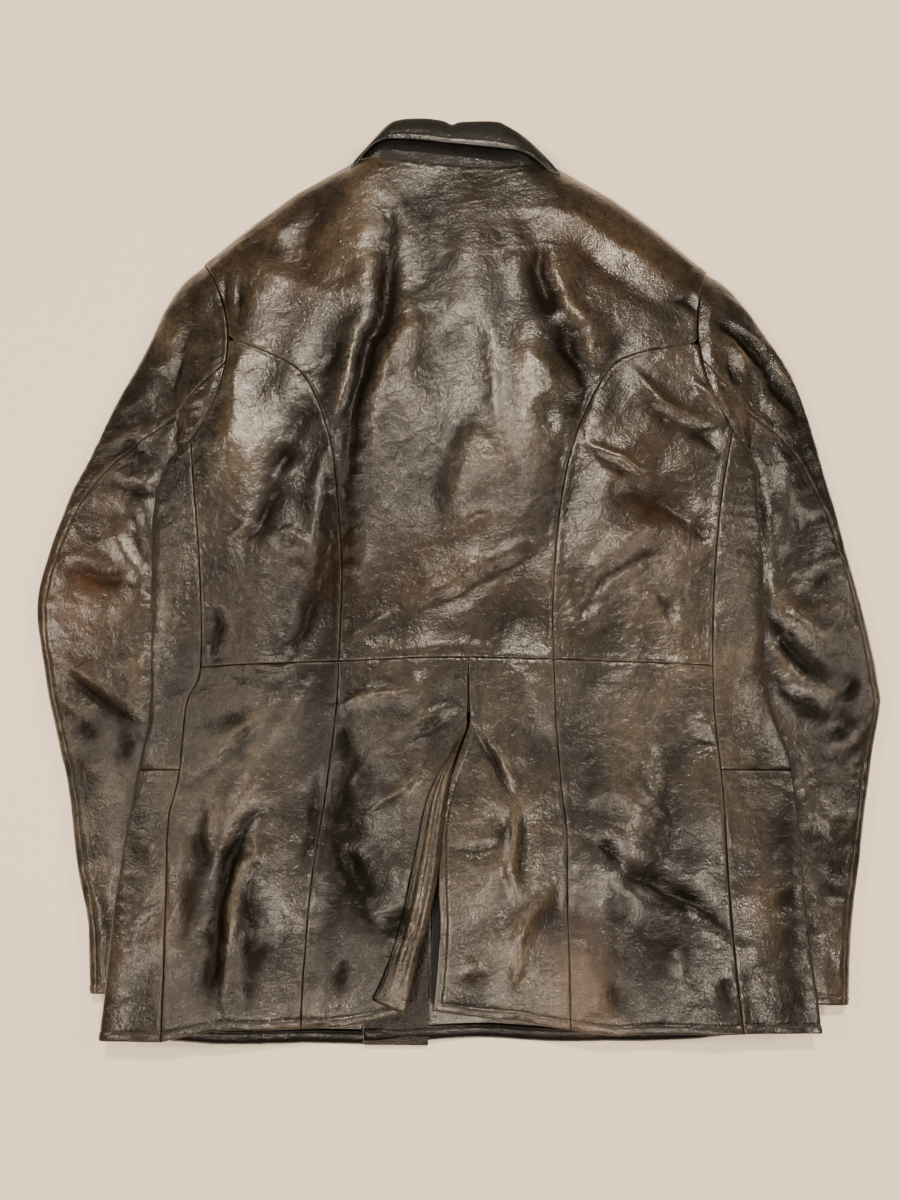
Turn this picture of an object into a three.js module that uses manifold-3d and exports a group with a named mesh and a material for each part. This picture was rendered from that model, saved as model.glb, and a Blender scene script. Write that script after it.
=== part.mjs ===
// A tailored leather work jacket, lying flat and buttoned, with its back uppermost.
// Millimetres, +Z up. The floor is z = 0, +Y points to the collar, and the origin is the centre of the
// jacket's box at floor level. "Left" and "right" are those of someone looking down on the jacket's back.
//
// Every cut piece of leather or lining is its own closed shell. A piece is a grid of points laid between
// its four seams, lifted onto the height that its layer has there, and given its thickness.
import * as THREE from "three";
import Module from "manifold-3d";

const wasm = await Module();
wasm.setup();

// ---------------------------------------------------------------- driving dimensions
const LEATHER = 1.6; // shell leather with its glued seam allowance
const FACING = 1.0; // thinner leather of the facings
const LINING = 0.7; // lining cloth
const PLY_GAP = 0.5; // air between two plies that lie on each other
const FACING_GAP = 0.8;
const SEAM_GAP = 0.3; // each piece stops this far short of its seam
const HIP_Y = -182; // seam across the side panel, at pocket height
const ARMPIT_Y = 93;
const SHOULDER_TIP_Y = 268;
const CENTRE_BACK_X = 11;
const CENTRE_FRONT_X = -47; // the fronts lie a little to the left of the back
const OVERLAP = 25; // each front passes the centre front by this much
const TOP_BUTTON_Y = 20;
const BUTTON_PITCH = 95;
const BUTTON_COUNT = 3;
const BUTTON_RADIUS = 11;
const BUTTON_THICKNESS = 3.6;
const FRONT_LIFT = 4.2; // how far the buttons hold the fronts off the floor
const LAPEL_LIFT = 2.3; // how far the lapels hold the chest off the floor
const SLEEVE_CLEARANCE = 19.6; // underside of the body where a sleeve lies below it
const SHOULDER_EDGE_Z = 8; // top of the shell along the shoulder seam
const SHOULDER_ROUND = 42; // width of the roll over the shoulder
const SLEEVE_HALF = { armhole: 14, arm: 8.5 }; // half the height of the flattened sleeve

const COLOURS = {
  shell: 0x3f342b,
  facing: 0x26211d,
  collar: 0x2a2623,
  lining: 0x1d1b1c,
  button: 0x2b211a,
  thread: 0x1a1512,
  label: 0x6d675c,
};
const MATERIALS = {
  shell: new THREE.MeshStandardMaterial({ color: COLOURS.shell, roughness: 0.42, metalness: 0 }),
  facing: new THREE.MeshStandardMaterial({ color: COLOURS.facing, roughness: 0.45, metalness: 0 }),
  collar: new THREE.MeshStandardMaterial({ color: COLOURS.collar, roughness: 0.45, metalness: 0 }),
  lining: new THREE.MeshStandardMaterial({ color: COLOURS.lining, roughness: 0.7, metalness: 0 }),
  button: new THREE.MeshStandardMaterial({ color: COLOURS.button, roughness: 0.35, metalness: 0 }),
  thread: new THREE.MeshStandardMaterial({ color: COLOURS.thread, roughness: 0.8, metalness: 0 }),
  label: new THREE.MeshStandardMaterial({ color: COLOURS.label, roughness: 0.8, metalness: 0 }),
};

const jacket = new THREE.Group();

// ---------------------------------------------------------------- small tools
const lerp = (a, b, t) => a + (b - a) * t;
// 0 up to one place and 1 from the other on: straight between them, or eased at both ends.
const ramp = (x, from, to) => THREE.MathUtils.clamp((x - from) / (to - from), 0, 1);
const rise = (x, from, to) => {
  const t = ramp(x, from, to);
  return t * t * (3 - 2 * t);
};

// n + 1 points, evenly spaced along a smooth line through the given ones.
function along(points, n) {
  const curve = new THREE.SplineCurve(points.map(([x, y]) => new THREE.Vector2(x, y)));
  return Array.from({ length: n + 1 }, (_, i) => {
    const p = curve.getPointAt(i / n);
    return [p.x, p.y];
  });
}

const evenly = (n) => Array.from({ length: n + 1 }, (_, i) => i / n);

// Points on the straight line from a to b, at the given shares of its length.
const across = (a, b, shares) => shares.map((t) => [lerp(a[0], b[0], t), lerp(a[1], b[1], t)]);
const straight = (a, b, n) => across(a, b, evenly(n));

// Several lines end to end, each starting where the last stopped.
const joined = (...lines) => lines.flatMap((line, i) => (i ? line.slice(1) : line));

// The plan grid of a piece: a Coons patch between its left and right seams, both listed upwards,
// and its lower and upper edges, both listed from left to right. The shares say how far across each
// column lies. The rim is drawn in by the seam gap.
function planGrid(left, right, lower, upper, shares = evenly(lower.length - 1)) {
  const rows = left.length - 1;
  const columns = lower.length - 1;
  const grid = [];
  for (let j = 0; j <= rows; j++) {
    const v = j / rows;
    const row = [];
    for (let i = 0; i <= columns; i++) {
      const u = shares[i];
      row.push([0, 1].map((k) =>
        (1 - v) * lower[i][k] + v * upper[i][k] + (1 - u) * left[j][k] + u * right[j][k]
        - (1 - u) * (1 - v) * lower[0][k] - u * (1 - v) * lower[columns][k]
        - (1 - u) * v * upper[0][k] - u * v * upper[columns][k]));
    }
    grid.push(row);
  }
  const pull = (p, q) => {
    const far = Math.hypot(q[0] - p[0], q[1] - p[1]);
    return [p[0] + ((q[0] - p[0]) * SEAM_GAP) / far, p[1] + ((q[1] - p[1]) * SEAM_GAP) / far];
  };
  for (const row of grid) {
    row[0] = pull(row[0], row[1]);
    row[columns] = pull(row[columns], row[columns - 1]);
  }
  grid[0] = grid[0].map((p, i) => pull(p, grid[1][i]));
  grid[rows] = grid[rows].map((p, i) => pull(p, grid[rows - 1][i]));
  return grid;
}

// A closed solid between two grids of points with the same rows and columns.
function shellGeometry(outer, inner) {
  const rows = outer.length;
  const columns = outer[0].length;
  const position = [...outer.flat(), ...inner.flat()].flat();
  const at = (side, j, i) => side * rows * columns + j * columns + i;
  const index = [];
  const quad = (a, b, c, d) => index.push(a, b, c, a, c, d);
  for (let j = 0; j < rows - 1; j++)
    for (let i = 0; i < columns - 1; i++) {
      quad(at(0, j, i), at(0, j, i + 1), at(0, j + 1, i + 1), at(0, j + 1, i));
      quad(at(1, j, i), at(1, j + 1, i), at(1, j + 1, i + 1), at(1, j, i + 1));
    }
  const rim = [];
  for (let i = 0; i < columns; i++) rim.push([0, i]);
  for (let j = 1; j < rows; j++) rim.push([j, columns - 1]);
  for (let i = columns - 2; i >= 0; i--) rim.push([rows - 1, i]);
  for (let j = rows - 2; j > 0; j--) rim.push([j, 0]);
  rim.forEach(([j, i], k) => {
    const [jn, in_] = rim[(k + 1) % rim.length];
    quad(at(1, j, i), at(1, jn, in_), at(0, jn, in_), at(0, j, i));
  });
  return oriented(position, index);
}

// A geometry whose faces point outwards, whichever way its grid ran.
function oriented(position, index) {
  let volume = 0;
  const p = (i) => new THREE.Vector3(...position.slice(3 * i, 3 * i + 3));
  for (let i = 0; i < index.length; i += 3)
    volume += p(index[i]).dot(p(index[i + 1]).cross(p(index[i + 2])));
  if (volume < 0)
    for (let i = 0; i < index.length; i += 3)
      [index[i + 1], index[i + 2]] = [index[i + 2], index[i + 1]];
  const geometry = new THREE.BufferGeometry();
  geometry.setAttribute("position", new THREE.Float32BufferAttribute(position, 3));
  geometry.setIndex(index);
  geometry.computeVertexNormals();
  return geometry;
}

// A ply over a plan grid: its underside is at the height below(x, y), and it is this thick.
function ply(grid, below, thickness) {
  const raised = (extra) => grid.map((row) => row.map(([x, y]) => [x, y, below(x, y) + extra]));
  return shellGeometry(raised(thickness), raised(0));
}

function add(name, geometry, material) {
  const mesh = new THREE.Mesh(geometry, material);
  mesh.name = name;
  jacket.add(mesh);
  return mesh;
}

function solidOf(geometry) {
  const triVerts = new Uint32Array(geometry.index.array);
  const vertProperties = new Float32Array(geometry.attributes.position.array);
  return new wasm.Manifold(new wasm.Mesh({ numProp: 3, vertProperties, triVerts }));
}

// The geometry with straight-sided slots cut through it, each [x, y, width, length].
function slotted(geometry, slots) {
  let solid = solidOf(geometry);
  for (const [x, y, width, length] of slots) {
    const box = new THREE.BoxGeometry(width, length, 80).translate(x, y, 0);
    const corners = boxCorners(box);
    solid = solid.subtract(solidOf(corners));
  }
  const mesh = solid.getMesh();
  const cut = new THREE.BufferGeometry();
  cut.setAttribute("position", new THREE.Float32BufferAttribute(Float32Array.from(mesh.vertProperties), 3));
  cut.setIndex(new THREE.BufferAttribute(Uint32Array.from(mesh.triVerts), 1));
  cut.computeVertexNormals();
  return cut;
}

// A box whose faces share their corners, which a boolean cut needs.
function boxCorners(box) {
  box.computeBoundingBox();
  const { min, max } = box.boundingBox;
  const ring = (z) => [[min.x, min.y, z], [max.x, min.y, z], [max.x, max.y, z], [min.x, max.y, z]];
  return ringsSolid([ring(min.z), ring(max.z)]);
}

// A closed solid through rings of points, capped by a fan at each end.
function ringsSolid(rings) {
  const n = rings[0].length;
  const position = rings.flat().flat();
  const index = [];
  for (let k = 0; k < rings.length - 1; k++)
    for (let i = 0; i < n; i++) {
      const a = k * n + i;
      const b = k * n + ((i + 1) % n);
      index.push(a, b, b + n, a, b + n, a + n);
    }
  const last = (rings.length - 1) * n;
  for (let i = 1; i < n - 1; i++) {
    index.push(0, i + 1, i);
    index.push(last, last + i, last + i + 1);
  }
  return oriented(position, index);
}

// ---------------------------------------------------------------- seams, in plan
// side is -1 on the left and 1 on the right.
const DIVISIONS = { hem: 6, hip: 3, bodice: 7, armholeLow: 4, armholeHigh: 4, shoulder: 6 };
const SIDES = {
  "-1": {
    name: "left",
    sideSkirt: [[-222, -384], [-224, -276], [-222, -215], [-218, HIP_Y]],
    sideHip: [[-218, HIP_Y], [-210, -125], [-206, -100]],
    sideBodice: [[-206, -100], [-207, -64], [-213, 6], [-221, 66], [-224, ARMPIT_Y]],
    princess: [[-94, -95], [-93, -46], [-94, -12], [-99, 51], [-106, 96], [-125, 146], [-149, 167], [-190, 184]],
    princessSkirt: [[-117, -376], [-116, -333], [-113, -280], [-107, -230], [-100, -179], [-95, -125], [-94, -95]],
    armholeChord: [[-225, ARMPIT_Y + 1], [-226, SHOULDER_TIP_Y]],
    armholeBow: 30,
    shoulder: [[-226, SHOULDER_TIP_Y], [-186, 307], [-141, 342], [-97, 368]],
    bodyEdge: [[-271, -383], [-263, -260], [-254, HIP_Y], [-246, -126], [-253, -9], [-252, 42], [-246, 68], [-231, ARMPIT_Y]],
    sleeveOuter: [[-228, 269], [-255, 226], [-287, 159], [-314, 94], [-332, 48], [-346, -5], [-352, -40], [-346, -82],
      [-330, -141], [-313, -198], [-303, -253], [-291, -299], [-285, -354]],
    sleeveInner: [[-229, 93], [-251, 58], [-240, 18], [-215, -32], [-195, -92], [-178, -182], [-163, -290], [-158, -350]],
  },
  "1": {
    name: "right",
    sideSkirt: [[219, -379], [215, -319], [213, -255], [212, -205], [211, HIP_Y]],
    sideHip: [[211, HIP_Y], [208, -140], [208, -100]],
    sideBodice: [[208, -100], [211, -60], [216, -11], [224, 45], [232, 82], [236, ARMPIT_Y + 8]],
    princess: [[80, -95], [80, -51], [84, 2], [90, 45], [98, 82], [108, 111], [122, 140], [146, 168], [206, 182]],
    princessSkirt: [[88, -376], [88, -328], [88, -267], [88, -227], [84, -190], [81, -140], [80, -95]],
    armholeChord: [[238, ARMPIT_Y + 10], [228, SHOULDER_TIP_Y - 8]],
    armholeBow: 22,
    shoulder: [[228, SHOULDER_TIP_Y - 8], [195, 292], [151, 327], [99, 362]],
    bodyEdge: [[279, -381], [274, -290], [269, HIP_Y], [255, -115], [257, 8], [257, 60], [252, 85], [243, ARMPIT_Y + 8]],
    sleeveOuter: [[230, 262], [257, 226], [290, 178], [308, 131], [321, 66], [335, -5], [346, -57], [352, -108], [352, -133],
      [339, -181], [326, -245], [315, -299], [306, -362]],
    sleeveInner: [[242, 102], [261, 62], [252, 12], [230, -42], [210, -112], [194, -200], [183, -300], [180, -358]],
  },
};

// The armhole bows in towards the body from the straight line between armpit and shoulder tip.
function armholePoint(side, t) {
  const { armholeChord: [low, high], armholeBow } = SIDES[side];
  const c = 2 * t - 1;
  return [lerp(low[0], high[0], t) - side * armholeBow * (1 - c * c), lerp(low[1], high[1], t)];
}

for (const side of [-1, 1]) {
  const s = SIDES[side];
  s.skirtLine = along(s.sideSkirt, DIVISIONS.hem);
  s.hipLine = along(s.sideHip, DIVISIONS.hip);
  s.bodiceLine = along(s.sideBodice, DIVISIONS.bodice);
  const yokeShare = (s.princess.at(-1)[1] - s.armholeChord[0][1]) / (s.armholeChord[1][1] - s.armholeChord[0][1]);
  const arc = (from, to, n) => Array.from({ length: n + 1 }, (_, i) => armholePoint(side, lerp(from, to, i / n)));
  s.armholeLow = arc(0, yokeShare - 0.025, DIVISIONS.armholeLow);
  s.armholeHigh = arc(yokeShare, 1, DIVISIONS.armholeHigh);
  s.shoulderLine = along(s.shoulder, DIVISIONS.shoulder);
  s.princessLine = along(s.princess, DIVISIONS.bodice + DIVISIONS.armholeLow);
  s.princessSkirtLine = along(s.princessSkirt, DIVISIONS.hem + DIVISIONS.hip);
}
const LEFT = SIDES[-1];
const RIGHT = SIDES[1];

// ---------------------------------------------------------------- heights of the layers
// How far in from the shoulder line a point is.
function fromShoulder(x, y) {
  const { shoulder } = SIDES[x < 0 ? -1 : 1];
  const [tipX, tipY] = shoulder[0];
  const [neckX, neckY] = shoulder.at(-1);
  const long = Math.hypot(neckX - tipX, neckY - tipY);
  const signed = ((neckX - tipX) * (tipY - y) - (neckY - tipY) * (tipX - x)) / long;
  return (x < 0 ? 1 : -1) * signed;
}

// Top of the back's shell.
function backTop(x, y) {
  const hem = ramp(y, -100, -390);
  const middle = lerp(38, 25, hem);
  const sides = lerp(34, 31, hem);
  const flat = lerp(middle, sides, Math.min(1, (x / 212) ** 2));
  const q = THREE.MathUtils.clamp(fromShoulder(x, y) / SHOULDER_ROUND, 0, 1);
  return lerp(SHOULDER_EDGE_Z, flat, Math.sqrt(1 - (1 - q) ** 2));
}
const backUnder = (x, y) => backTop(x, y) - LEATHER;

// Underside of the fronts: on the floor, but held up by the sleeves at the sides, by the buttons
// along the centre front, and by the lapels over the chest.
const SLEEVE_RAMP = [118, 186]; // over this distance from the middle
const SHOULDER_RISE = SHOULDER_EDGE_Z - 2 * LEATHER - LAPEL_LIFT - 0.5; // which brings it up to the back
const BUTTON_RAMP = [24, 62]; // and over this one from the centre front
const PLY_RAMP = [CENTRE_FRONT_X + OVERLAP + 6, CENTRE_FRONT_X + OVERLAP + 42];
function frontFloor(x, y) {
  const sleeve = SLEEVE_CLEARANCE * ramp(Math.abs(x), ...SLEEVE_RAMP) * rise(y, 165, 62);
  const lapels = rise(y, 6, 40) * LAPEL_LIFT;
  const fromCentre = Math.abs(x - CENTRE_FRONT_X);
  const buttons = (1 - ramp(fromCentre, ...BUTTON_RAMP)) * rise(y, -340, -250) * rise(y, 110, 40);
  const shoulder = 1 - ramp(fromShoulder(x, y), 0, 30);
  return Math.max(sleeve, lerp(lapels, FRONT_LIFT, buttons)) + SHOULDER_RISE * shoulder;
}
// The right front lies on the left one at the centre, and comes down to the floor beyond it.
const PLIES_BELOW = LEATHER + FACING + 2 * FACING_GAP;
const leftFrontUnder = frontFloor;
const rightFrontUnder = (x, y) => frontFloor(x, y) + PLIES_BELOW * (1 - ramp(x, ...PLY_RAMP));

// ---------------------------------------------------------------- back panels
const CENTRE_COLUMNS = 10;
const SIDE_COLUMNS = 4;
const neckLine = along([LEFT.shoulder.at(-1), [-56, 358], [-1, 353], [50, 352], RIGHT.shoulder.at(-1)], CENTRE_COLUMNS);

function backPanels() {
  const centre = planGrid(
    joined(LEFT.princessLine, [LEFT.princessLine.at(-1), ...LEFT.armholeHigh.slice(1)], LEFT.shoulderLine),
    joined(RIGHT.princessLine, [RIGHT.princessLine.at(-1), ...RIGHT.armholeHigh.slice(1)], RIGHT.shoulderLine),
    straight(LEFT.princess[0], RIGHT.princess[0], CENTRE_COLUMNS), neckLine);
  add("back_center_panel", ply(centre, backUnder, LEATHER), MATERIALS.shell);

  for (const side of [-1, 1]) {
    const s = SIDES[side];
    const outer = joined(s.bodiceLine, s.armholeLow);
    const [a, b] = side < 0 ? [outer, s.princessLine] : [s.princessLine, outer];
    const bodice = planGrid(a, b, straight(a[0], b[0], SIDE_COLUMNS), straight(a.at(-1), b.at(-1), SIDE_COLUMNS));
    add(`back_side_panel_${s.name}`, ply(bodice, backUnder, LEATHER), MATERIALS.shell);

    const seam = joined(s.skirtLine, s.hipLine);
    const [c, d] = side < 0 ? [seam, s.princessSkirtLine] : [s.princessSkirtLine, seam];
    const skirt = planGrid(c, d, straight(c[0], d[0], SIDE_COLUMNS), straight(c.at(-1), d.at(-1), SIDE_COLUMNS));
    add(`skirt_side_panel_${s.name}`, ply(skirt, backUnder, LEATHER), MATERIALS.shell);
  }
}

// The vent opens below the centre back seam. The left skirt's edge is turned back on itself.
const VENT_TOP_Y = -146;
const ventFold = [[-38, -366], [-34, -335], [-28, -307], [-20, -267], [-12, -210], [-3, -175], [10, VENT_TOP_Y]];
const ventEdge = [[-17, -364], [-14, -336], [-12, -300], [-13, -267], [-12, -220], [1, -175], [12, VENT_TOP_Y]];
const VENT_DIVISIONS = 7;
const CENTRE_SEAM_DIVISIONS = DIVISIONS.hem + DIVISIONS.hip - VENT_DIVISIONS;

function skirtCentre() {
  const waist = [CENTRE_BACK_X, -95];
  const leftEdge = joined(along(ventFold, VENT_DIVISIONS), straight(ventFold.at(-1), waist, CENTRE_SEAM_DIVISIONS));
  const rightEdge = joined(along(ventEdge, VENT_DIVISIONS), straight(ventEdge.at(-1), waist, CENTRE_SEAM_DIVISIONS));
  const l = LEFT.princessSkirtLine;
  const r = RIGHT.princessSkirtLine;
  const left = planGrid(l, leftEdge, straight(l[0], leftEdge[0], SIDE_COLUMNS), straight(l.at(-1), waist, SIDE_COLUMNS));
  const right = planGrid(rightEdge, r, straight(rightEdge[0], r[0], SIDE_COLUMNS), straight(waist, r.at(-1), SIDE_COLUMNS));
  add("skirt_center_panel_left", ply(left, backUnder, LEATHER), MATERIALS.shell);
  add("skirt_center_panel_right", ply(right, backUnder, LEATHER), MATERIALS.shell);
}

// The vent's left facing, turned back to lie on the skirt beside its fold.
const ventFree = [[-64, -354], [-56, -338], [-46, -310], [-38, -279], [-30, -241], [-20, -205], [2, -160]];
function ventFacing() {
  const fold = ventFold.map(([x, y], i) => [x - 1.2, y + (i ? 0 : 4)]);
  fold[fold.length - 1] = [7.5, -154];
  const grid = planGrid(along(ventFree, 10), along(fold, 10), straight(ventFree[0], fold[0], 2),
    straight(ventFree.at(-1), fold.at(-1), 2));
  add("vent_facing_left", ply(grid, (x, y) => backTop(x, y) + PLY_GAP, FACING + 0.6), MATERIALS.shell);

  const under = rightInset(6, 24);
  add("vent_facing_right", ply(under, (x, y) => backUnder(x, y) - PLY_GAP - FACING, FACING), MATERIALS.facing);
}
function rightInset(near, far) {
  const shift = (d) => along(ventEdge.map(([x, y]) => [x + d, y + 4]), VENT_DIVISIONS);
  const a = shift(near);
  const b = shift(far);
  return planGrid(a, b, straight(a[0], b[0], 1), straight(a.at(-1), b.at(-1), 1));
}

// ---------------------------------------------------------------- side panels
// A side panel leaves the side back seam, turns round the edge of the body and comes back below it.
const EDGE_STEPS = 5; // per quarter turn
function sidePanel(side, name, seam, edge) {
  const outer = [];
  const inner = [];
  const middle = 26.5;
  seam.forEach(([seamX], j) => {
    const y = lerp(seam[0][1], seam.at(-1)[1], j / (seam.length - 1));
    const startX = seamX + side * 2 * SEAM_GAP;
    const reach = edge[j] - startX;
    const top = backTop(seamX, y);
    const under = leftFrontUnder(seamX, y);
    const row = (t) => {
      const points = [];
      for (let k = -EDGE_STEPS; k <= EDGE_STEPS; k++) {
        const a = (k / EDGE_STEPS) * (Math.PI / 2);
        const high = k > 0 ? top - t - middle : middle - under - t;
        points.push([startX + (reach - side * t) * Math.cos(a), y, middle + high * Math.sin(a)]);
      }
      return points;
    };
    outer.push(row(0));
    inner.push(row(LEATHER));
  });
  const squared = (rows) => rows.map((row, j) => row.map(([x, y, z]) => [
    x, y + (j === 0 ? SEAM_GAP : 0) - (j === rows.length - 1 ? SEAM_GAP : 0), z]));
  add(name, shellGeometry(squared(outer), squared(inner)), MATERIALS.shell);
}

// x of a line, listed upwards, at a given y.
function xAt(line, y) {
  const k = Math.max(1, line.findIndex((p) => p[1] >= y));
  const [a, b] = [line[k - 1], line[k]];
  return lerp(a[0], b[0], THREE.MathUtils.clamp((y - a[1]) / (b[1] - a[1]), 0, 1));
}

function sidePanels() {
  for (const side of [-1, 1]) {
    const s = SIDES[side];
    const fine = along(s.bodyEdge, 60);
    const build = (name, line) => {
      const ys = line.map((_, j) => lerp(line[0][1], line.at(-1)[1], j / (line.length - 1)));
      sidePanel(side, name, ys.map((y) => [xAt(line, y), y]), ys.map((y) => xAt(fine, y)));
    };
    build(`side_panel_upper_${s.name}`, joined(s.hipLine, s.bodiceLine));
    build(`side_panel_lower_${s.name}`, s.skirtLine);
  }
}

// ---------------------------------------------------------------- fronts
const HEM_FRONT_Y = -394.5;
const ROLL_TOP = { "-1": [-82, 326], "1": [84, 322] };
const ROLL_START_Y = 40;
const POCKET_WIDTH = 120;
const WELT_DEPTH = 13;
const FACING_WIDTH = { hem: 50, neck: 34 };

// The front edge from the hip seam up to the top of the roll line, and its part below the hip.
function frontEdge(side, n) {
  const x = CENTRE_FRONT_X - side * OVERLAP;
  const low = Math.round(n * 0.42);
  return joined(straight([x, HIP_Y], [x, ROLL_START_Y], low), straight([x, ROLL_START_Y], ROLL_TOP[side], n - low));
}

// The columns of a front stand where its height changes slope.
function columnShares(side) {
  const outer = side < 0 ? -220 : 213;
  const inner = CENTRE_FRONT_X - side * OVERLAP;
  const [near, far] = BUTTON_RAMP.map((d) => CENTRE_FRONT_X + side * d);
  const bends = side < 0 ? [-204, -186, -152, -118, far, -90, near, CENTRE_FRONT_X]
    : [-59, CENTRE_FRONT_X, near, PLY_RAMP[0], 0, far, PLY_RAMP[1], 60, 118, 152, 186];
  const [low, high] = [Math.min(outer, inner), Math.max(outer, inner)];
  return [low, ...bends, high].map((x) => (x - low) / (high - low));
}

function fronts() {
  const slits = Array.from({ length: BUTTON_COUNT }, (_, i) => [CENTRE_FRONT_X, TOP_BUTTON_Y - i * BUTTON_PITCH, 20, 3]);
  for (const side of [-1, 1]) {
    const s = SIDES[side];
    const under = side < 0 ? leftFrontUnder : rightFrontUnder;
    const outerUp = joined(s.hipLine, s.bodiceLine, [s.bodiceLine.at(-1), ...s.armholeLow.slice(1)], s.armholeHigh, s.shoulderLine);
    const innerUp = frontEdge(side, outerUp.length - 1);
    const edgeX = CENTRE_FRONT_X - side * OVERLAP;
    const outerLow = s.skirtLine;
    const innerLow = straight([edgeX, HEM_FRONT_Y], [edgeX, HIP_Y], outerLow.length - 1);
    const order = (o, i) => (side < 0 ? [o, i] : [i, o]);
    const patch = ([a, b], shares) =>
      planGrid(a, b, across(a[0], b[0], shares), across(a.at(-1), b.at(-1), shares), shares);

    const shares = columnShares(side);
    const upper = ply(patch(order(outerUp, innerUp), shares), under, LEATHER);
    add(`front_upper_${s.name}`, side < 0 ? slotted(upper, slits) : upper, MATERIALS.shell);

    const lower = ply(patch(order(outerLow, innerLow), shares), under, LEATHER);
    const weltX = edgeX + side * (side < 0 ? 112 : 162);
    const weltY = HIP_Y - WELT_DEPTH / 2 - 1;
    add(`front_lower_${s.name}`, slotted(lower, [[weltX, weltY, POCKET_WIDTH, WELT_DEPTH]]), MATERIALS.shell);

    const half = { x: POCKET_WIDTH / 2 - SEAM_GAP, y: WELT_DEPTH / 2 - SEAM_GAP };
    const sideOf = (x) => [[weltX + x, weltY - half.y], [weltX + x, weltY + half.y]];
    const ends = (y) => straight([weltX - half.x, weltY + y], [weltX + half.x, weltY + y], 8);
    add(`pocket_welt_${s.name}`, ply(planGrid(sideOf(-half.x), sideOf(half.x), ends(-half.y), ends(half.y)), under, LEATHER),
      MATERIALS.shell);

    const bag = { top: HIP_Y - 4, bottom: HIP_Y - 150 };
    const bagSide = (x) => straight([weltX + x, bag.bottom], [weltX + x, bag.top], 5);
    const bagEnd = (y) => straight([weltX - 58, y], [weltX + 58, y], 6);
    add(`pocket_bag_${s.name}`, ply(planGrid(bagSide(-58), bagSide(58), bagEnd(bag.bottom), bagEnd(bag.top)),
      (x, y) => under(x, y) + LEATHER + 1.2, 1.2), MATERIALS.lining);

    const inset = 1.5;
    const facingEdge = [[edgeX + side * inset, HEM_FRONT_Y + 2], [edgeX + side * inset, ROLL_START_Y],
      [ROLL_TOP[side][0] + side * inset, ROLL_TOP[side][1] - 3]];
    const edgeLine = joined(straight(facingEdge[0], facingEdge[1], 12), straight(facingEdge[1], facingEdge[2], 9));
    const width = (y) => lerp(FACING_WIDTH.hem, FACING_WIDTH.neck, rise(y, 60, 330));
    const innerEdge = edgeLine.map(([x, y]) => [x + side * width(y), y]);
    const facingShares = side < 0 ? [0, 0.04, 0.51, 0.75, 1] : [0, 0.2, 0.42, 0.6, 0.7, 0.86, 1];
    const facing = ply(patch(order(innerEdge, edgeLine), facingShares), (x, y) => under(x, y) + LEATHER + FACING_GAP, FACING);
    add(`front_facing_${s.name}`, side < 0 ? slotted(facing, slits) : facing, MATERIALS.facing);

    const liningIn = innerEdge.map(([x, y]) => [x + side * 2, Math.max(y, -362)]);
    const from = liningIn.findIndex(([, y]) => y > -362) - 1;
    const inside = liningIn.slice(from, -2).map(([x, y], k) => (k ? [x, y] : [x, -362]));
    const outside = inside.map(([, y]) => [xAt(joined(s.skirtLine, s.hipLine, s.bodiceLine), y) - side * lerp(9, 52, rise(y, 90, 200)), y]);
    add(`front_lining_${s.name}`, ply(patch(order(outside, inside), evenly(6)),
      (x, y) => under(x, y) + LEATHER + 3.2, LINING), MATERIALS.lining);
  }
}

// ---------------------------------------------------------------- lapels, on the outside of the fronts
const LAPELS = {
  left: { roll: [[-86, 316], [-40, 62]], outline: [[-60, 96], [-104, 172], [-146, 262], [-134, 288], [-112, 282]] },
  right: { roll: [[84, 312], [-24, 122]], outline: [[22, 152], [82, 200], [142, 262], [132, 288], [110, 282]] },
};
const LAPEL_Z = 0.2;
function lapels() {
  for (const [name, { roll: [top, bottom], outline }] of Object.entries(LAPELS)) {
    const shape = new THREE.Shape([top, bottom, ...outline].map(([x, y]) => new THREE.Vector2(x, y)));
    const geometry = new THREE.ExtrudeGeometry(shape, { depth: LEATHER, bevelEnabled: false });
    add(`lapel_${name}`, geometry.translate(0, 0, LAPEL_Z), MATERIALS.shell);
  }
}

// ---------------------------------------------------------------- buttons
function buttons() {
  for (let i = 0; i < BUTTON_COUNT; i++) {
    const y = TOP_BUTTON_Y - i * BUTTON_PITCH;
    const rim = BUTTON_RADIUS;
    const profile = [[0, 0.9], [rim * 0.55, 0.9], [rim * 0.68, 0], [rim * 0.88, 0], [rim, 1], [rim, 2.4], [rim * 0.8, BUTTON_THICKNESS],
      [0, BUTTON_THICKNESS]];
    const disc = new THREE.LatheGeometry(profile.map(([r, z]) => new THREE.Vector2(r, z)), 16);
    disc.rotateX(Math.PI / 2).translate(CENTRE_FRONT_X, y, 0.05);
    add(`button_${i + 1}`, disc, MATERIALS.button);
    const low = BUTTON_THICKNESS + 0.1;
    const high = rightFrontUnder(CENTRE_FRONT_X, y) - 0.1;
    const shank = new THREE.CylinderGeometry(1.1, 1.1, high - low, 8);
    shank.rotateX(Math.PI / 2).translate(CENTRE_FRONT_X, y, (low + high) / 2);
    add(`button_thread_${i + 1}`, shank, MATERIALS.thread);
  }
}

// ---------------------------------------------------------------- collar
const COLLAR_FOLD_Z = 41;
const COLLAR_TOP = [[-88, 366], [-73, 377], [-54, 392], [-29, 394], [-1, 390], [33, 392], [47, 387], [64, 376], [88, 359]];
const COLLAR_FREE = [[-90, 352], [-81, 363], [-66, 370], [-42, 371], [-8, 368], [16, 365], [49, 361], [75, 355], [92, 345]];
const COLLAR_COLUMNS = 14;

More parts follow.
